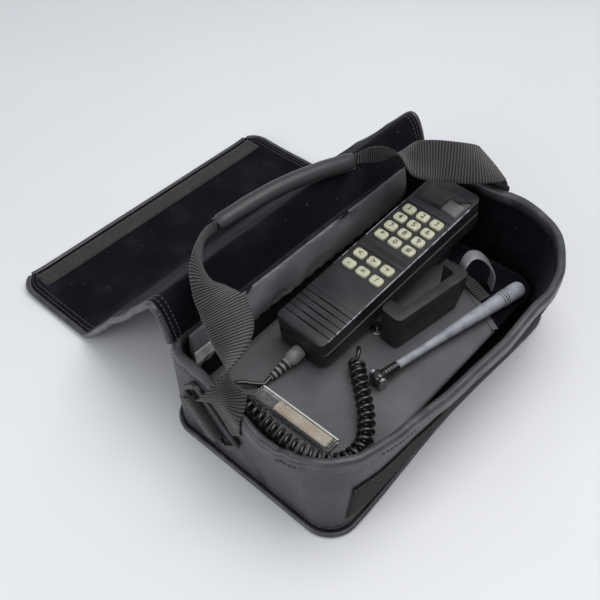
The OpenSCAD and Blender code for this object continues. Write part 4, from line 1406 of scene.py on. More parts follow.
def cover_sink(x, y):
    """How far the cover's top has sagged below the level that things lie on."""
    slow = 0.5 + 0.5 * noise.noise(Vector((x * 16, y * 20, 3)))
    rolls = 0.5 + 0.5 * math.sin(60 * y + 22 * x + 3 * noise.noise(Vector((x * 12, y * 12, 8))))
    gap = math.exp(-(((x + 0.086) / 0.008) ** 2))
    return 0.0011 * slow + 0.0006 * rolls + 0.0007 * gap


def cover_outline(inset, count=240):
    """The cover's rounded outline, drawn in by inset, as evenly spread points."""
    half_x = cover_half_x - inset
    half_y = cover_half_y - inset
    radius = cover_corner - inset
    outline = []
    for k in range(4):
        sign_x, sign_y = corner_signs[k]
        for step in range(count // 4):
            share = step / (count // 4 - 1)
            turn = math.radians(180 + 90 * k + 90 * share)
            outline.append(
                Vector(
                    (
                        cover_middle.x + sign_x * (half_x - radius) + radius * math.cos(turn),
                        cover_middle.y + sign_y * (half_y - radius) + radius * math.sin(turn),
                        0,
                    )
                )
            )
    return outline


deselect()
cover_cells = 0.0025
bpy.ops.mesh.primitive_grid_add(
    x_subdivisions=int(2 * cover_half_x / cover_cells),
    y_subdivisions=int(2 * cover_half_y / cover_cells),
    size=1,
    location=(cover_middle.x, cover_middle.y, 0),
)
cover_sheet = bpy.context.object
cover_sheet.name = "cover_sheet"
cover_sheet.scale = (2 * cover_half_x, 2 * cover_half_y, 1)
bpy.ops.object.transform_apply(location=True, rotation=True, scale=True)
for vertex in cover_sheet.data.vertices:
    x, y = vertex.co.x - cover_middle.x, vertex.co.y - cover_middle.y
    over_x = abs(x) - (cover_half_x - cover_corner)
    over_y = abs(y) - (cover_half_y - cover_corner)
    if over_x > 0 and over_y > 0:
        # the square grid is drawn in to the round corner
        reach = max(over_x, over_y) / math.hypot(over_x, over_y)
        x = math.copysign(cover_half_x - cover_corner + over_x * reach, x)
        y = math.copysign(cover_half_y - cover_corner + over_y * reach, y)
        over_x, over_y = over_x * reach, over_y * reach
    edge = min(cover_half_x - abs(x), cover_half_y - abs(y))
    if over_x > 0 and over_y > 0:
        edge = cover_corner - math.hypot(over_x, over_y)
    drop = 0.0018 * math.exp(-((edge / 0.003) ** 2))
    vertex.co = (
        cover_middle.x + x,
        cover_middle.y + y,
        cover_high.z - 0.0002 - cover_sink(cover_middle.x + x, cover_middle.y + y) - drop,
    )
modifier = cover_sheet.modifiers.new("thickness", "SOLIDIFY")
modifier.thickness = 0.0006
modifier.offset = -1
bpy.ops.object.modifier_apply(modifier="thickness")
cover_sheet.data.shade_smooth()

cover_vinyl, cover_shader, cover_place = new_material(
    "cover_vinyl", Roughness=0.50, Specular_IOR_Level=0.5, Sheen_Weight=0.08
)
cover_cloud = clouds(cover_vinyl, cover_place, 24.0, 6.0)
cover_grain = cells(cover_vinyl, cover_place, 900.0)
tint(
    cover_vinyl,
    cover_shader,
    cover_cloud.outputs["Fac"],
    (0.32, (0.072, 0.073, 0.080)),
    (0.55, (0.096, 0.097, 0.105)),
    (0.78, (0.128, 0.129, 0.138)),
)
cover_folds = raise_surface(cover_vinyl, cover_shader, cover_cloud.outputs["Fac"], 0.0020, 0.5)
raise_surface(cover_vinyl, cover_shader, cover_grain.outputs["Distance"], 0.00025, 0.5, cover_folds)
hem_heading = (hem_right - hem_left).normalized()
for face in cover_sheet.data.polygons:
    past = hem_heading.cross(face.center - hem_left).z
    face.material_index = 1 if past < 0 and face.center.x > 0.06 else 0
paint(cover_sheet, cover_vinyl, velour)
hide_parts("inner_cover")
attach(cover_sheet, "bag")


def on_cover(x, y, up=0.0):
    return Vector((x, y, cover_high.z - 0.0002 - cover_sink(x, y) + up))


# the hem: a narrow turned-up strip along the fold, and stitches round the cover
hem_path = smooth_line([hem_left, hem_left.lerp(hem_right, 0.5), hem_right], 60)
hem_path = [on_cover(p.x, p.y, 0.0004) for p in hem_path]
hem_wide = [Vector((-hem_heading.y, hem_heading.x, 0))] * len(hem_path)
hem = ribbon("cover_hem", hem_path, hem_wide, 0.006, 0.0012)
paint(hem, cover_vinyl)
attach(hem, "bag")
cover_lines = []
for inset in (0.0030, 0.0075):
    outline = [on_cover(p.x, p.y, 0.0002) for p in cover_outline(inset)]
    outline = [p for p in outline if p.x < 0.070]
    first = max(range(len(outline)), key=lambda n: (outline[n] - outline[n - 1]).length)
    outline = outline[first:] + outline[:first]
    cover_lines.append([(p, Vector((0, 0, 1))) for p in outline])
stitch_row("cover_stitches", cover_lines, "bag")

tab_line = [(0.1055, -0.024), (0.1035, -0.032), (0.1000, -0.042), (0.0965, -0.0535)]
tab_line = [
    Vector((x, y, cover_high.z + lift))
    for (x, y), lift in zip(tab_line, (0.0016, 0.0030, 0.0028, 0.0012))
]
tab_line = smooth_line(tab_line, 40)
tab_wide = [Vector((1, -0.3, 0.05))] * len(tab_line)
pull_tab = ribbon("pull_tab", tab_line, tab_wide, 0.0125, 0.0016)
paint(pull_tab, webbing_nylon)
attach(pull_tab, "bag")


# ---- Card and its sleeve -----------------------------------------------------------------
# A buff card is rolled up and slid in a sleeve of clear vinyl, which is open at both ends and
# heat-sealed along its long edges. It lies along the left end of the cover.

sleeve_low, sleeve_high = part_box("card_holder")
sleeve_middle = (sleeve_low + sleeve_high) / 2
sleeve_half = (sleeve_high - sleeve_low) / 2


def flat_roll(half_width, half_height, count):
    """The outline of a flattened roll, as points across and up."""
    outline = []
    for k in range(count):
        turn = 2 * math.pi * k / count
        c, s = math.cos(turn), math.sin(turn)
        outline.append(
            (
                half_width * math.copysign(abs(c) ** 0.75, c),
                half_height * math.copysign(abs(s) ** 0.80, s),
            )
        )
    return outline


sleeve_steps = 48
sleeve_sides = 40
sleeve_wall = 0.0008
sleeve_rings = []
for layer in (0, 1):
    for n in range(sleeve_steps + 1) if layer == 0 else range(sleeve_steps, -1, -1):
        y = sleeve_low.y + 0.0004 + (2 * sleeve_half.y - 0.0008) * n / sleeve_steps
        dents = 1 - 0.07 * (0.5 + 0.5 * noise.noise(Vector((0, y * 60, 9))))
        outline = flat_roll(
            sleeve_half.x - layer * sleeve_wall,
            (sleeve_half.z - 0.0001) * dents - layer * sleeve_wall,
            sleeve_sides,
        )
        level = sleeve_low.z + (sleeve_half.z - 0.0001) * dents + 0.0002
        sleeve_rings.append(
            [Vector((sleeve_middle.x + across, y, level + up)) for across, up in outline]
        )
sleeve = sweep("card_sleeve", sleeve_rings, closed=True)
clear_vinyl, vinyl_shader, vinyl_place = new_material(
    "clear_vinyl",
    Base_Color=(0.97, 0.97, 0.97, 1),
    Roughness=0.05,
    IOR=1.30,
    Transmission_Weight=0.97,
    Specular_IOR_Level=0.8,
)
vinyl_ripple = clouds(clear_vinyl, vinyl_place, 70.0, 3.0)
tint(
    clear_vinyl,
    vinyl_shader,
    vinyl_ripple.outputs["Fac"],
    (0.35, 0.02),
    (0.75, 0.07),
    socket="Roughness",
)
raise_surface(clear_vinyl, vinyl_shader, vinyl_ripple.outputs["Fac"], 0.0012, 0.3)

# painted highlight: a pale stripe on the sleeve's upper faces, right of its middle, stands in for
# the lamp's reflection
painted_highlight_vinyl = clouded(
    "painted_highlight_vinyl", 160.0, (0.0002, 0.4),
    [(0.35, 0.72), (0.65, 0.90)],
    Roughness=0.18, Specular_IOR_Level=0.8, Coat_Weight=0.5,
)
paint(sleeve, clear_vinyl, painted_highlight_vinyl)
# the upper faces from 0.62 to 0.90 of the way across carry the painted highlight
for face in sleeve.data.polygons:
    across = (face.center.x - sleeve_middle.x) / sleeve_half.x
    if 0.62 < across < 0.90 and face.normal.z > 0.2:
        face.material_index = 1
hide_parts("card_holder")
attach(sleeve, "bag")

card_low, card_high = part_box("card")
card_start = card_low.y + 0.001
card_stop = card_high.y - 0.018
roll_turns = 2.4
roll_points = 90
card_rings = []
for n in range(33):
    y = card_start + (card_stop - card_start) * n / 32
    spiral = []
    for k in range(roll_points + 1):
        share = k / roll_points
        turn = 2 * math.pi * roll_turns * share
        shrink = 1 - 0.50 * share
        c, s = math.cos(turn), math.sin(turn)
        spiral.append(
            (
                (sleeve_half.x - 0.0018) * shrink * math.copysign(abs(c) ** 0.8, c),
                (sleeve_half.z - 0.0016) * shrink * math.copysign(abs(s) ** 0.85, s),
            )
        )
    outer = [Vector((sleeve_middle.x + a, y, sleeve_middle.z - 0.0001 + b)) for a, b in spiral]
    inner = [
        Vector((sleeve_middle.x + a * 0.955, y, sleeve_middle.z - 0.0001 + b * 0.94))
        for a, b in reversed(spiral)
    ]
    card_rings.append(outer + inner)
card_roll = sweep("card_roll", card_rings)
card_stock, card_shader, card_place = new_material("card_stock", Roughness=0.7)
card_fibre = clouds(card_stock, card_place, 180.0, 5.0)
card_bands = add_node(
    card_stock,
    "ShaderNodeTexWave",
    {"wave_type": "BANDS", "bands_direction": "Y"},
    Vector=card_place,
    Scale=11.0,
    Distortion=1.5,
)
card_tint = colour_ramp(
    card_stock, card_bands.outputs["Fac"], (0.2, (0.62, 0.50, 0.38)), (0.8, (0.70, 0.62, 0.50))
)
card_mix = add_node(
    card_stock, "ShaderNodeMix", {"data_type": "RGBA", "blend_type": "MULTIPLY"}, Factor=0.5
)
link(card_stock, card_tint, card_mix.inputs["A"])
link(
    card_stock,
    colour_ramp(card_stock, card_fibre.outputs["Fac"], (0.3, 0.75), (0.7, 1.0)),
    card_mix.inputs["B"],
)
link(card_stock, card_mix.outputs["Result"], card_shader.inputs["Base Color"])
raise_surface(card_stock, card_shader, card_fibre.outputs["Fac"], 0.0001, 0.4)
paint(card_roll, card_stock)
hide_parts("card")
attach(card_roll, "bag")


# ---- Hang-up cup and its band ------------------------------------------------------------
# A moulded ABS cup that holds the handset in a car: a block with a pocket open at the back,
# its right end undercut. A band of leatherette behind it stands up in a loop.

cup_length = 0.092
cup_depth = 0.024
cup_height = 0.037
cup_place = (
    Matrix.Translation((-0.009, -0.027, cover_high.z)) @ Matrix.Rotation(math.radians(-8.3), 4, "Z")
)


def block(name, low, high):
    """A box between two corners, started from a cube."""
    deselect()
    bpy.ops.mesh.primitive_cube_add(
        size=1,
        location=[(a + b) / 2 for a, b in zip(low, high)],
        scale=[b - a for a, b in zip(low, high)],
    )
    made = bpy.context.object
    made.name = name
    bpy.ops.object.transform_apply(location=True, rotation=True, scale=True)
    return made


def pick(piece, kind, test):
    """Edit mode, with only the faces or the edges that pass the test selected."""
    select_only(piece)
    bpy.ops.object.mode_set(mode="EDIT")
    bpy.ops.mesh.select_mode(type=kind)
    bpy.ops.mesh.select_all(action="DESELECT")
    edit = bmesh.from_edit_mesh(piece.data)
    for item in edit.faces if kind == "FACE" else edit.edges:
        item.select_set(test(item))
    bmesh.update_edit_mesh(piece.data)


def bevel_edges(piece, test, width, segments):
    pick(piece, "EDGE", test)
    bpy.ops.mesh.bevel(offset=width, segments=segments, profile=0.5, clamp_overlap=True)
    bpy.ops.object.mode_set(mode="OBJECT")


def upright(edge):
    return abs((edge.verts[0].co - edge.verts[1].co).normalized().z) > 0.99


def modify(piece, kind, **settings):
    """Adds a modifier and applies it."""
    select_only(piece)
    made = piece.modifiers.new("change", kind)
    for key, value in settings.items():
        setattr(made, key, value)
    bpy.ops.object.modifier_apply(modifier="change")


def carve(piece, *tools):
    for tool in tools:
        modify(piece, "BOOLEAN", operation="DIFFERENCE", solver="EXACT", object=tool)
        bpy.data.objects.remove(tool)


def slice_off(piece, point, normal):
    """Cuts away the side of a plane that its normal points to, and closes the cut."""
    select_only(piece)
    bpy.ops.object.mode_set(mode="EDIT")
    bpy.ops.mesh.select_all(action="SELECT")
    bpy.ops.mesh.bisect(plane_co=point, plane_no=normal, use_fill=True, clear_outer=True)
    bpy.ops.object.mode_set(mode="OBJECT")


def settle(piece, matrix, angle=35):
    """Puts a finished piece in its place, with its place in its mesh, and smooths it."""
    piece.matrix_world = matrix @ piece.matrix_world
    select_only(piece)
    bpy.ops.object.transform_apply(location=True, rotation=True, scale=True)
    bpy.ops.object.mode_set(mode="EDIT")
    bpy.ops.mesh.select_all(action="SELECT")
    bpy.ops.mesh.remove_doubles(threshold=0.000005)
    bpy.ops.object.mode_set(mode="OBJECT")
    bpy.ops.object.shade_smooth_by_angle(angle=math.radians(angle))


cup_left = 0.014
cup_right = 0.010
cup_ledge = 0.010
cup_floor = 0.006
cup_lip = 0.006
cup = block("cup", (0, 0, 0), (cup_length, cup_depth, cup_height))
bevel_edges(cup, lambda e: upright(e), 0.006, 6)
undercut = math.radians(24)
low_cut = block(
    "low_cut",
    (cup_length - 0.0001, -0.002, -0.06),
    (cup_length + 0.05, cup_depth + 0.002, cup_height - cup_lip),
)
pick(
    low_cut,
    "EDGE",
    lambda e: all(v.co.x < cup_length and v.co.z < 0 for v in e.verts),
)
bpy.ops.transform.translate(value=(-(cup_height - cup_lip + 0.06) * math.tan(undercut), 0, 0))
bpy.ops.object.mode_set(mode="OBJECT")
pocket = block(
    "pocket",
    (cup_left, cup_ledge, cup_floor),
    (cup_length - cup_right, cup_depth + 0.01, cup_height + 0.01),
)
bevel_edges(pocket, lambda e: upright(e) and e.verts[0].co.y < cup_ledge + 0.001, 0.004, 5)
carve(cup, pocket, low_cut)
modify(cup, "BEVEL", width=0.0010, segments=3, limit_method="ANGLE", angle_limit=math.radians(50))
settle(cup, cup_place)

satin_plastic, plastic_shader, plastic_place = new_material(
    "satin_plastic", Roughness=0.38, Specular_IOR_Level=0.5
)
plastic_grain = clouds(satin_plastic, plastic_place, 1300.0)
plastic_scuff = clouds(satin_plastic, plastic_place, 55.0, 8.0)
tint(
    satin_plastic,
    plastic_shader,
    plastic_scuff.outputs["Fac"],
    (0.35, (0.011, 0.011, 0.012)),
    (0.62, (0.020, 0.020, 0.022)),
    (0.78, (0.060, 0.060, 0.064)),
)
tint(
    satin_plastic,
    plastic_shader,
    plastic_scuff.outputs["Fac"],
    (0.3, 0.30),
    (0.7, 0.50),
    socket="Roughness",
)
raise_surface(satin_plastic, plastic_shader, plastic_grain.outputs["Fac"], 0.00012, 0.5)
paint(cup, satin_plastic)
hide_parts("hang_up_cup")
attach(cup, "bag")

band_path = [
    (0.092, -0.026, cover_high.z), (0.092, -0.026, 0.056), (0.094, -0.026, 0.070),
    (0.101, -0.028, 0.078), (0.108, -0.034, 0.077), (0.113, -0.042, 0.068),
    (0.114, -0.048, 0.056), (0.114, -0.048, cover_high.z),
]
band_line = smooth_line(band_path, 70)
retaining_band = ribbon(
    "retaining_loop", band_line, [Vector((0.7, 0.9, 0))] * len(band_line), 0.0125, 0.0020, 0.0004
)
paint(retaining_band, gather_vinyl)
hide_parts("retaining_band")
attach(retaining_band, "bag")


# ---- Antenna -----------------------------------------------------------------------------
# A helical whip in a pale grey rubber sheath, thick at its end, with three rings turned in it.
# It stands on a glossy ribbed elbow that folds down on a steel pin in the socket's two ears.

antenna_at = (-0.049, -0.038)
antenna_turn = math.radians(-11.6)
antenna_place = (
    Matrix.Translation((*antenna_at, cover_high.z + 0.0083))
    @ Matrix.Rotation(antenna_turn, 4, "Z")
    @ Matrix.Rotation(math.radians(90), 4, "Y")
)


def turned(name, profile, sides=32):
    """A round piece along +Z, grown from a disc by extruding and scaling its end face."""
    height, radius = profile[0]
    deselect()
    bpy.ops.mesh.primitive_circle_add(
        vertices=sides, radius=radius, fill_type="NGON", location=(0, 0, height)
    )
    made = bpy.context.object
    made.name = name
    bpy.ops.object.transform_apply(location=True, rotation=True, scale=True)
    bpy.ops.object.mode_set(mode="EDIT")
    bpy.ops.mesh.select_all(action="SELECT")
    for next_height, next_radius in profile[1:]:
        bpy.ops.mesh.extrude_region_move(
            TRANSFORM_OT_translate={"value": (0, 0, next_height - height)}
        )
        share = next_radius / radius
        bpy.ops.transform.resize(
            value=(share, share, 1), center_override=(0, 0, next_height)
        )
        height, radius = next_height, next_radius
    bpy.ops.mesh.select_all(action="SELECT")
    bpy.ops.mesh.normals_make_consistent(inside=False)
    bpy.ops.object.mode_set(mode="OBJECT")
    return made


whip_root = 0.0038
whip_thick = 0.0080
whip_rings_at = 0.150
whip_profile = [
    (0.0215, whip_root * 0.80), (0.0222, whip_root * 0.97), (0.026, whip_root),
    (0.060, whip_root + 0.0001), (0.080, 0.00465), (0.110, 0.00595),
    (whip_rings_at - 0.001, whip_thick * 0.925),
]
for k in range(3):
    ring_at = whip_rings_at + 0.003 * k
    whip_profile += [
        (ring_at, whip_thick * 0.90), (ring_at + 0.0006, whip_thick * 0.985),
        (ring_at + 0.0017, whip_thick * 0.985), (ring_at + 0.0022, whip_thick * 0.90),
    ]
whip_profile += [
    (0.1605, whip_thick * 0.955), (0.1650, whip_thick), (0.1720, whip_thick),
    (0.1750, whip_thick * 0.93), (0.1768, whip_thick * 0.78), (0.1777, whip_thick * 0.50),
    (0.1780, whip_thick * 0.10),
]
whip = turned("whip", whip_profile, 40)
settle(whip, antenna_place, 60)
sheath_rubber, sheath_shader, sheath_place = new_material(
    "grey_sheath", Roughness=0.52, Specular_IOR_Level=0.4
)
sheath_smudge = clouds(sheath_rubber, sheath_place, 85.0, 7.0)
sheath_grain = clouds(sheath_rubber, sheath_place, 1400.0)
tint(
    sheath_rubber,
    sheath_shader,
    sheath_smudge.outputs["Fac"],
    (0.30, (0.190, 0.196, 0.222)),
    (0.50, (0.330, 0.342, 0.380)),
    (0.75, (0.420, 0.432, 0.470)),
)
raise_surface(sheath_rubber, sheath_shader, sheath_grain.outputs["Fac"], 0.00015, 0.5)
# the faces in the grooves between the whip's rings are coloured near black
groove_dark = clouded(
    "near_black_grooves", 700.0, (0.0001, 0.4),
    [(0.3, 0.010), (0.7, 0.030)],
    Roughness=0.8,
)
paint(whip, sheath_rubber, groove_dark)
whip_axis = antenna_place.inverted()
for face in whip.data.polygons:
    up_whip = (whip_axis @ face.center).z
    for k in range(4):
        if abs(up_whip - (whip_rings_at + 0.003 * k - 0.0004)) < 0.0006:
            face.material_index = 1
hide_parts("antenna_whip")
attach(whip, "antenna")

elbow_profile = [(0.0, 0.0042), (0.0058, 0.0042)]
for k in range(5):
    rib_at = 0.006 + k * 0.0032
    elbow_profile += [
        (rib_at, 0.0040), (rib_at + 0.0006, 0.0047),
        (rib_at + 0.0021, 0.0047), (rib_at + 0.0027, 0.0040),
    ]
elbow_profile += [(0.0214, 0.0042), (0.0219, 0.0038), (0.0220, 0.0010)]
elbow = turned("elbow", elbow_profile, 32)
knuckle = turned(
    "knuckle",
    [
        (-0.0045, 0.0052), (-0.0043, 0.0056), (-0.0038, 0.0060),
        (0.0038, 0.0060), (0.0043, 0.0056), (0.0045, 0.0052),
    ],
    32,
)
pin = turned(
    "pin", [(-0.0073, 0.0016), (-0.0071, 0.0020), (0.0071, 0.0020), (0.0073, 0.0016)], 20
)
for piece in (knuckle, pin):
    piece.rotation_euler = (math.radians(90), 0, 0)
    select_only(piece)
    bpy.ops.object.transform_apply(location=True, rotation=True, scale=True)
modify(elbow, "BOOLEAN", operation="UNION", solver="EXACT", object=knuckle)
bpy.data.objects.remove(knuckle)
settle(elbow, antenna_place, 45)
settle(pin, antenna_place, 45)
gloss_rubber = clouded(
    "gloss_rubber", 210.0, (0.0001, 0.4),
    [(0.3, 0.007), (0.75, 0.030)],
    detail=4.0, Roughness=0.2, Specular_IOR_Level=0.6, Coat_Weight=0.3,
)
paint(elbow, gloss_rubber)
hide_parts("antenna_elbow")
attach(elbow, "antenna")

steel = clouded(
    "plated_steel", 600.0, (0.00005, 0.4),
    [(0.3, (0.36, 0.36, 0.37)), (0.7, (0.55, 0.55, 0.56))],
    detail=4.0, Metallic=1.0, Roughness=0.28,
)
paint(pin, steel)
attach(pin, "antenna")

# the socket: a plated boss through the cover, with an ear on each side of the knuckle
boss = turned(
    "socket_boss",
    [
        (0.0370, 0.0066), (0.0372, 0.0070), (cover_high.z + 0.0006, 0.0070),
        (cover_high.z + 0.0010, 0.0066), (cover_high.z + 0.0010, 0.0020),
    ],
    40,
)
boss.location = (*antenna_at, 0)
settle(boss, Matrix.Identity(4))
ears = []
for side in (-1, 1):
    ear = block(
        "ear",
        (-0.004, side * 0.00605 - 0.00125, cover_high.z + 0.0002),
        (0.004, side * 0.00605 + 0.00125, cover_high.z + 0.0083 + 0.004),
    )
    bevel_edges(
        ear,
        lambda e: abs((e.verts[0].co - e.verts[1].co).normalized().y) > 0.99
        and e.verts[0].co.z > cover_high.z + 0.01,
        0.0039,
        8,
    )
    settle(ear, Matrix.Translation((*antenna_at, 0)) @ Matrix.Rotation(antenna_turn, 4, "Z"))
    ears.append(ear)
select_only(boss)
for ear in ears:
    ear.select_set(True)
bpy.ops.object.join()
paint(boss, steel)
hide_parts("antenna_socket")
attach(boss, "bag")

gland_piece = turned(
    "gland",
    [
        (0.0370, 0.0042), (cover_high.z + 0.0006, 0.0045), (cover_high.z + 0.0010, 0.0042),
        (cover_high.z + 0.0014, 0.0033), (cover_high.z + 0.0026, 0.0035),
        (cover_high.z + 0.0030, 0.0031), (cover_high.z + 0.0042, 0.0034),
        (cover_high.z + 0.0046, 0.0030), (cover_high.z + 0.0058, 0.0032),
        (cover_high.z + 0.0062, 0.0028), (cover_high.z + 0.0080, 0.0027),
        (cover_high.z + 0.0080, 0.0021),
    ],
    28,
)
gland_piece.location = (gland.x, gland.y, 0)
settle(gland_piece, Matrix.Identity(4), 50)
paint(gland_piece, gloss_rubber)
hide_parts("cord_gland")
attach(gland_piece, "bag")


# ---- Handset shells ----------------------------------------------------------------------
# Two injection-moulded ABS shells screwed together from below. The front one is a little
# narrower, with a bevelled nose, sunk key panels and sound slots; pale stripes along its long
# top edges are painted highlights, partly edge wear.

handset_end = nose + 0.226
handset_width = 0.058
seam = 0.019
face_level = 0.034
shell_wall = 0.0025
panel_sink = 0.0008
key_rise = 0.0028
key_along = 0.0096
key_across = 0.0126
column_pitch = 0.0161
number_pitch = 0.0136
function_pitch = 0.015
number_top = handset_end - 0.0545
function_top = handset_end - 0.1251
window_x = handset_end - 0.0245
ear_x = handset_end - 0.042
ear_radius = 0.022
ear_depth = (ear_x - ear_radius - nose) * math.tan(handset_tilt)


def rounded_block(name, low, high, radius, steps=6):
    """A block with its four upright edges rounded."""
    made = block(name, low, high)
    bevel_edges(made, upright, radius, steps)
    return made


def key_places(rows, top, pitch):
    return [
        (top - row * pitch, (1 - column) * column_pitch)
        for row in range(rows)
        for column in range(3)
    ]


number_places = key_places(4, number_top, number_pitch)
function_places = key_places(2, function_top, function_pitch)

front = rounded_block(
    "front_shell",
    (nose, 0.001 - handset_width / 2, seam),
    (handset_end, handset_width / 2 - 0.001, face_level),
    0.008,
    8,
)
slice_off(front, (nose + 0.009, 0, face_level), (-0.012, 0, 0.009))
modify(front, "BEVEL", width=0.0014, segments=4, limit_method="ANGLE", angle_limit=math.radians(28))
hollow = rounded_block(
    "hollow",
    (nose + 0.0105, -handset_width / 2 + 0.0035, seam - 0.002),
    (handset_end - shell_wall, handset_width / 2 - 0.0035, face_level - shell_wall),
    0.0055,
)
cutters = [hollow]
for rows, top, pitch in ((4, number_top, number_pitch), (2, function_top, function_pitch)):
    low_x = top - (rows - 1) * pitch - key_along / 2 - 0.0035
    high_x = top + key_along / 2 + 0.0035
    recess = rounded_block(
        "recess",
        (low_x, -0.0262, face_level - panel_sink),
        (high_x, 0.0262, face_level + 0.002),
        0.0026,
        4,
    )
    pick(recess, "FACE", lambda f: f.normal.z > 0.9)
    bpy.ops.transform.resize(value=(1.012, 1.02, 1))
    bpy.ops.object.mode_set(mode="OBJECT")
    cutters.append(recess)
    for x, y in key_places(rows, top, pitch):
        cutters.append(
            rounded_block(
                "key_hole",
                (x - key_along / 2 - 0.0003, y - key_across / 2 - 0.0003, face_level - 0.004),
                (x + key_along / 2 + 0.0003, y + key_across / 2 + 0.0003, face_level + 0.002),
                0.0031,
                5,
            )
        )
cutters.append(
    rounded_block(
        "window_seat",
        (window_x - 0.0133, -0.0253, face_level - 0.0014),
        (window_x + 0.0133, 0.0253, face_level + 0.002),
        0.0023,
        4,
    )
)
cutters.append(
    block(
        "lcd_hole",
        (window_x - 0.0083, -0.0053, face_level - 0.004),
        (window_x + 0.0083, 0.0233, face_level),
    )
)


def groove(x, half_wide, half_across, deep):
    """A cutter for a slot across the handset's face."""
    return block(
        "groove",
        (x - half_wide, -half_across, face_level - deep),
        (x + half_wide, half_across, face_level + 0.002),
    )


sound_slot_first = 0.017
sound_slot_pitch = 0.0069
for k in range(5):
    x = sound_slot_first + sound_slot_pitch * k
    cutters.append(groove(x, 0.00065, 0.0125, 0.004))
    cutters.append(groove(x, 0.0005, 0.03, 0.0012))
band_middle = (number_top - 3 * number_pitch + function_top) / 2
band_grooves = [band_middle - 0.0018, band_middle, band_middle + 0.0018]
for x in [*band_grooves, handset_end - 0.0400, 0.0500]:
    cutters.append(groove(x, 0.0002, 0.03, 0.0004))
carve(front, *cutters)
settle(front, handset_place, 32)

rear = rounded_block(
    "rear_shell",
    (nose, -handset_width / 2, 0),
    (handset_end, handset_width / 2, seam - 0.0001),
    0.009,
    8,
)
bevel_edges(rear, lambda e: all(v.co.z < 0.0001 for v in e.verts), 0.0045, 5)
bevel_edges(rear, lambda e: all(v.co.z > seam - 0.001 for v in e.verts), 0.0006, 2)
ear_cup = turned(
    "ear_cup",
    [
        (-ear_depth, ear_radius - 0.0080), (-ear_depth + 0.0002, ear_radius - 0.0030),
        (-ear_depth + 0.0010, ear_radius - 0.0012), (-ear_depth + 0.0028, ear_radius),
        (0.0040, ear_radius),
    ],
    56,
)
ear_cup.location = (ear_x, 0, 0)
select_only(ear_cup)
bpy.ops.object.transform_apply(location=True, rotation=True, scale=True)
modify(rear, "BOOLEAN", operation="UNION", solver="EXACT", object=ear_cup)
bpy.data.objects.remove(ear_cup)
rear_cutters = [
    rounded_block(
        "rear_hollow",
        (nose + shell_wall, -handset_width / 2 + 0.0035, 0.0032),
        (handset_end - shell_wall, handset_width / 2 - 0.0035, seam + 0.002),
        0.0055,
    )
]
ear_hollow_radius = ear_radius - shell_wall
ear_hollow = turned(
    "ear_hollow", [(shell_wall - ear_depth, ear_hollow_radius), (0.0040, ear_hollow_radius)], 48
)
ear_hollow.location = (ear_x, 0, 0)
rear_cutters.append(ear_hollow)
for k in range(6):
    turn = math.radians(60 * k)
    hole = turned("sound_hole", [(-ear_depth - 0.002, 0.0012), (-ear_depth + 0.004, 0.0012)], 12)
    hole.location = (ear_x + 0.008 * math.cos(turn), 0.008 * math.sin(turn), 0)
    rear_cutters.append(hole)
for x in (nose + 0.022, handset_end - 0.007):
    for y in (-0.021, 0.021):
        well = turned("screw_well", [(-0.002, 0.0030), (0.0022, 0.0030)], 20)
        well.location = (x, y, 0)
        rear_cutters.append(well)
socket = turned("plug_socket", [(-0.002, 0.0048), (0.005, 0.0048)], 24)
socket.rotation_euler = (0, math.radians(90), 0)
socket.location = (nose, boot_root.y, boot_root.z)
rear_cutters.append(socket)
for cutter in rear_cutters:
    select_only(cutter)
    bpy.ops.object.transform_apply(location=True, rotation=True, scale=True)
carve(rear, *rear_cutters)
settle(rear, handset_place, 32)


def handset_axes(material, place):
    """The handset's own axes: along it from the nose, across it, and up from its back."""
    turned_place = add_node(
        material,
        "ShaderNodeMapping",
        {"vector_type": "TEXTURE"},
        Vector=place,
        Location=handset_place.to_translation(),
        Rotation=handset_place.to_euler(),
    )
    return add_node(material, "ShaderNodeSeparateXYZ", Vector=turned_place.outputs["Vector"])


def within(material, value, low, high):
    """1 where a value lies between low and high, else 0."""
    middle = add_node(material, "ShaderNodeMath", {"operation": "SUBTRACT"})
    link(material, value, middle.inputs[0])
    middle.inputs[1].default_value = (low + high) / 2
    size = add_node(material, "ShaderNodeMath", {"operation": "ABSOLUTE"})
    link(material, middle.outputs["Value"], size.inputs[0])
    inside = add_node(material, "ShaderNodeMath", {"operation": "LESS_THAN"})
    link(material, size.outputs["Value"], inside.inputs[0])
    inside.inputs[1].default_value = (high - low) / 2
    return inside.outputs["Value"]


def both(material, first, second):
    made = add_node(material, "ShaderNodeMath", {"operation": "MULTIPLY"})
    link(material, first, made.inputs[0])
    link(material, second, made.inputs[1])
    return made.outputs["Value"]


def mixed(material, factor, first, second):
    made = add_node(material, "ShaderNodeMix", {"data_type": "RGBA"}, Factor=factor)
    for value, socket in ((first, made.inputs["A"]), (second, made.inputs["B"])):
        if isinstance(value, tuple):
            socket.default_value = (*value, 1)
        else:
            link(material, value, socket)
    return made.outputs["Result"]


abs_black, abs_shader, abs_place = new_material("abs_with_wear_and_edge_highlights", Roughness=0.36, Specular_IOR_Level=0.5)
abs_grain = cells(abs_black, abs_place, 1500.0)
abs_smudge = clouds(abs_black, abs_place, 38.0, 8.0)
abs_tone = colour_ramp(
    abs_black,
    abs_smudge.outputs["Fac"],
    (0.30, (0.012, 0.012, 0.014)),
    (0.60, (0.021, 0.021, 0.025)),
    (0.80, (0.040, 0.040, 0.046)),
)
abs_axes = handset_axes(abs_black, abs_place)
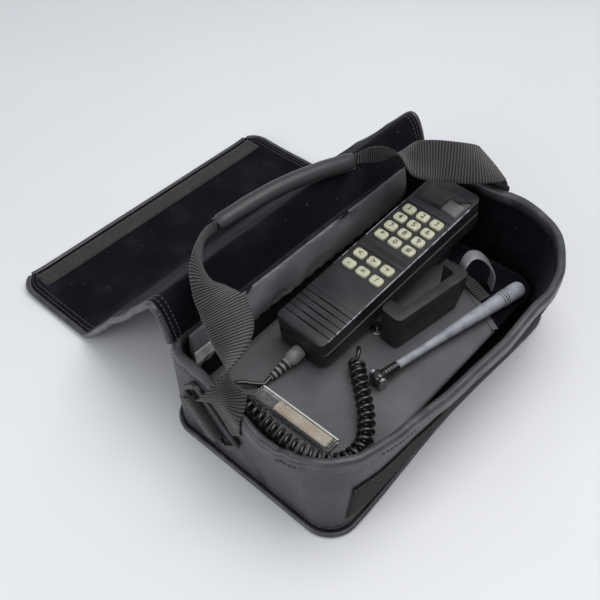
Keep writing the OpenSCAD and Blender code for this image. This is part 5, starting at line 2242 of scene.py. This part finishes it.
# Painted highlight, partly edge wear: pale grey stripes, broken up by noise, on the top of one long
# edge, and of the other long edge beside each key panel.
edge_y = handset_width / 2 - 0.0013
key_reach = key_along / 2 + 0.0040
wear_and_highlight_spans = [
    (-edge_y, nose + 0.010, handset_end - 0.020),
    (edge_y, number_top - 3 * number_pitch - key_reach, number_top + key_reach),
    (edge_y, function_top - function_pitch - key_reach, function_top + key_reach),
]
edge_breakup_noise = clouds(abs_black, abs_place, 150.0, 4.0)
edge_breakup_mask = colour_ramp(abs_black, edge_breakup_noise.outputs["Fac"], (0.38, 0.15), (0.56, 0.95))
abs_high = within(abs_black, abs_axes.outputs["Z"], face_level - 0.0011, face_level + 0.001)
abs_colour = abs_tone
# each span mixes in the pale grey of the painted highlight
for across, first, last in wear_and_highlight_spans:
    edge_line = both(
        abs_black,
        within(abs_black, abs_axes.outputs["Y"], across - 0.00055, across + 0.00055),
        within(abs_black, abs_axes.outputs["X"], first, last),
    )
    wear_and_highlight = both(abs_black, both(abs_black, edge_line, abs_high), edge_breakup_mask)
    abs_colour = mixed(abs_black, wear_and_highlight, abs_colour, (0.42, 0.42, 0.44))
link(abs_black, abs_colour, abs_shader.inputs["Base Color"])
tint(
    abs_black,
    abs_shader,
    abs_smudge.outputs["Fac"],
    (0.30, 0.30),
    (0.75, 0.48),
    socket="Roughness",
)
raise_surface(abs_black, abs_shader, abs_grain.outputs["Distance"], 0.00010, 0.45)
for piece, node in ((front, "handset_front"), (rear, "handset_rear")):
    paint(piece, abs_black)
    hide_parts(node)
    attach(piece, "handset")


# ---- Display -----------------------------------------------------------------------------
# A smoked acrylic window lies in a seat at the top of the face. Behind it is a dark liquid
# crystal display, and beside that a bare pale plate.

window = rounded_block(
    "window",
    (window_x - 0.0130, -0.0250, face_level - 0.0013),
    (window_x + 0.0130, 0.0250, face_level + 0.0001),
    0.0020,
    4,
)
bevel_edges(window, lambda e: all(v.co.z > face_level for v in e.verts), 0.0003, 2)
settle(window, handset_place)
smoked, smoked_shader, smoked_place = new_material(
    "smoked_acrylic", Roughness=0.16, Specular_IOR_Level=0.35
)
smoked_axes = handset_axes(smoked, smoked_place)
lcd_area = both(
    smoked,
    within(smoked, smoked_axes.outputs["X"], window_x - 0.0078, window_x + 0.0078),
    within(smoked, smoked_axes.outputs["Y"], -0.0040, 0.0200),
)
plate_area = both(
    smoked,
    within(smoked, smoked_axes.outputs["X"], window_x - 0.0105, window_x + 0.0040),
    within(smoked, smoked_axes.outputs["Y"], -0.0225, -0.0060),
)
smoked_haze = clouds(smoked, smoked_place, 120.0, 5.0)
smoked_base = colour_ramp(
    smoked, smoked_haze.outputs["Fac"], (0.35, (0.010, 0.010, 0.011)), (0.75, (0.020, 0.020, 0.021))
)
smoked_lcd = mixed(smoked, lcd_area, smoked_base, (0.035, 0.030, 0.026))
smoked_plate = mixed(smoked, plate_area, smoked_lcd, (0.085, 0.088, 0.088))
link(smoked, smoked_plate, smoked_shader.inputs["Base Color"])
tint(
    smoked,
    smoked_shader,
    smoked_haze.outputs["Fac"],
    (0.35, 0.12),
    (0.80, 0.30),
    socket="Roughness",
)
paint(window, smoked)
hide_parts("display_window")
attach(window, "handset")


# ---- Keys --------------------------------------------------------------------------------
# Eighteen pad-shaped keys of cream plastic, each with its dark mark printed on top. One is
# modelled and copied: the number keys carry plain numbers, the function keys plain signs.

key_bottom = face_level - 0.0036
key_top = face_level - panel_sink + key_rise
pad = rounded_block(
    "pad",
    (-key_along / 2, -key_across / 2, key_bottom),
    (key_along / 2, key_across / 2, key_top - 0.0009),
    0.0028,
    6,
)
pick(pad, "FACE", lambda f: f.normal.z > 0.9)
for rise, share in ((0.0004, 0.975), (0.0003, 0.94), (0.00015, 0.90), (0.00005, 0.85)):
    bpy.ops.mesh.extrude_region_move(TRANSFORM_OT_translate={"value": (0, 0, rise)})
    bpy.ops.transform.resize(value=(share, share, 1))
bpy.ops.object.mode_set(mode="OBJECT")
bevel_edges(pad, lambda e: all(v.co.z < key_bottom + 0.0001 for v in e.verts), 0.0003, 1)

key_plastic = clouded(
    "key_cream", 260.0, (0.00006, 0.4),
    [
        (0.30, (0.430, 0.415, 0.285)),
        (0.55, (0.560, 0.550, 0.400)),
        (0.80, (0.610, 0.600, 0.455)),
    ],
    detail=5.0, Roughness=0.42, Specular_IOR_Level=0.45, Subsurface_Weight=0.05,
)
print_ink, ink_shader, ink_place = new_material("print_ink", Roughness=0.6)
ink_wear = clouds(print_ink, ink_place, 900.0, 3.0)
tint(
    print_ink,
    ink_shader,
    ink_wear.outputs["Fac"],
    (0.35, (0.02, 0.02, 0.018)),
    (0.75, (0.09, 0.085, 0.07)),
)


def key_mark(sign, x, y):
    """A printed sign on a key's top, 5.7 mm tall, as a thin mesh."""
    deselect()
    bpy.ops.object.text_add(location=(x, y, key_top + 0.00002), rotation=(0, 0, math.radians(-90)))
    made = bpy.context.object
    made.data.body = sign
    made.data.size = 0.0078
    made.data.align_x = "CENTER"
    made.data.align_y = "CENTER"
    made.data.extrude = 0.00001
    made.data.offset = 0.00016
    made.data.resolution_u = 4
    bpy.ops.object.convert(target="MESH")
    bpy.ops.object.transform_apply(location=True, rotation=True, scale=True)
    return made


key_names = ["key_1", "key_2", "key_3", "key_4", "key_5", "key_6", "key_7", "key_8", "key_9"]
key_names += ["key_star", "key_0", "key_hash"] + [f"function_key_{k}" for k in range(1, 7)]
key_signs = "123456789*0#" + "<>+-=/"
for name, sign, (x, y) in zip(key_names, key_signs, number_places + function_places):
    cap = pad.copy()
    cap.data = pad.data.copy()
    cap.name = f"{name}_cap"
    bpy.context.scene.collection.objects.link(cap)
    cap.location = (x, y, 0)
    select_only(cap)
    bpy.ops.object.transform_apply(location=True, rotation=True, scale=True)
    paint(cap, key_plastic, print_ink)
    mark = key_mark(sign, x, y)
    paint(mark, key_plastic, print_ink)
    for face in mark.data.polygons:
        face.material_index = 1
    select_only(cap)
    mark.select_set(True)
    bpy.ops.object.join()
    settle(cap, handset_place, 50)
    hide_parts(name)
    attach(cap, name)
bpy.data.objects.remove(pad)


# ---- Cord boot ---------------------------------------------------------------------------
# The strain relief moulded on the curly cord's end: a smooth round head of grey rubber, then
# a ribbed neck that thins down to the cable.

boot_profile = [
    (-0.0030, 0.0044), (0.0003, 0.0046), (0.0004, 0.0058), (0.0010, 0.0066), (0.0022, 0.0070),
    (0.0090, 0.0070), (0.0120, 0.0068), (0.0145, 0.0061), (0.0160, 0.0052), (0.0168, 0.0044),
]
for k in range(4):
    thin = 0.00045 * k
    rib = 0.0172 + 0.005 * k
    boot_profile += [
        (rib, 0.0042 - thin), (rib + 0.0006, 0.0053 - thin), (rib + 0.0028, 0.0051 - thin),
        (rib + 0.0034, 0.0042 - thin),
    ]
boot_profile += [(0.0372, 0.0028), (0.0380, 0.0024), (0.0380, 0.0021)]
boot = turned("boot", boot_profile, 36)
boot.matrix_world = Matrix.Translation(boot_root) @ Matrix.Rotation(math.radians(-90), 4, "Y")
settle(boot, handset_place, 40)
boot_rubber = clouded(
    "grey_rubber", 140.0, (0.0002, 0.5),
    [
        (0.30, (0.150, 0.150, 0.152)),
        (0.60, (0.240, 0.240, 0.243)),
        (0.80, (0.310, 0.310, 0.313)),
    ],
    detail=6.0, Roughness=0.55, Specular_IOR_Level=0.4,
)
paint(boot, boot_rubber, groove_dark)
# the faces in the gaps between the boot's ribs get the same near-black colour
boot_axis = (handset_place @ Matrix.Translation(boot_root)).inverted()
for face in boot.data.polygons:
    down_neck = -(boot_axis @ face.center).x
    rib_share = ((down_neck - 0.0172) % 0.005) / 0.005
    if 0.0172 < down_neck < 0.0365 and rib_share > 0.60:
        face.material_index = 1
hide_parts("cord_boot")
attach(boot, "handset")


# ---- Units and inner works ---------------------------------------------------------------
# The moulded cases, the boards, the screws and the mat lie out of sight, and keep the plain
# model's shapes. Each gets the finish of what it is made of.

fibreglass, glass_shader, glass_place = new_material("circuit_laminate", Roughness=0.4)
tracks = add_node(
    fibreglass, "ShaderNodeTexBrick", Vector=glass_place, Scale=240.0, Mortar_Size=0.03
)
tracks.inputs["Color1"].default_value = (0.015, 0.11, 0.05, 1)
tracks.inputs["Color2"].default_value = (0.022, 0.15, 0.07, 1)
tracks.inputs["Mortar"].default_value = (0.06, 0.26, 0.12, 1)
link(fibreglass, tracks.outputs["Color"], glass_shader.inputs["Base Color"])
raise_surface(fibreglass, glass_shader, tracks.outputs["Fac"], 0.0001, 0.5)

silicone = clouded("grey_silicone", 300.0, (0.0001, 0.4), [(0.3, 0.05), (0.7, 0.08)], Roughness=0.7)

lcd_glass, lcd_shader, lcd_place = new_material("display_glass", Roughness=0.12)
lcd_cells = add_node(lcd_glass, "ShaderNodeTexChecker", Vector=lcd_place, Scale=1800.0)
lcd_cells.inputs["Color1"].default_value = (0.10, 0.11, 0.09, 1)
lcd_cells.inputs["Color2"].default_value = (0.12, 0.13, 0.105, 1)
link(lcd_glass, lcd_cells.outputs["Color"], lcd_shader.inputs["Base Color"])

hidden_finish = {
    "transceiver_case": satin_plastic,
    "transceiver_top": satin_plastic,
    "battery_pack": satin_plastic,
    "microphone": satin_plastic,
    "case_screws": steel,
    "handset_screws": steel,
    "earpiece": steel,
    "circuit_board": fibreglass,
    "handset_board": fibreglass,
    "keypad_mat": silicone,
    "display_panel": lcd_glass,
}
for node, material in hidden_finish.items():
    paint(bpy.data.objects[node], material)
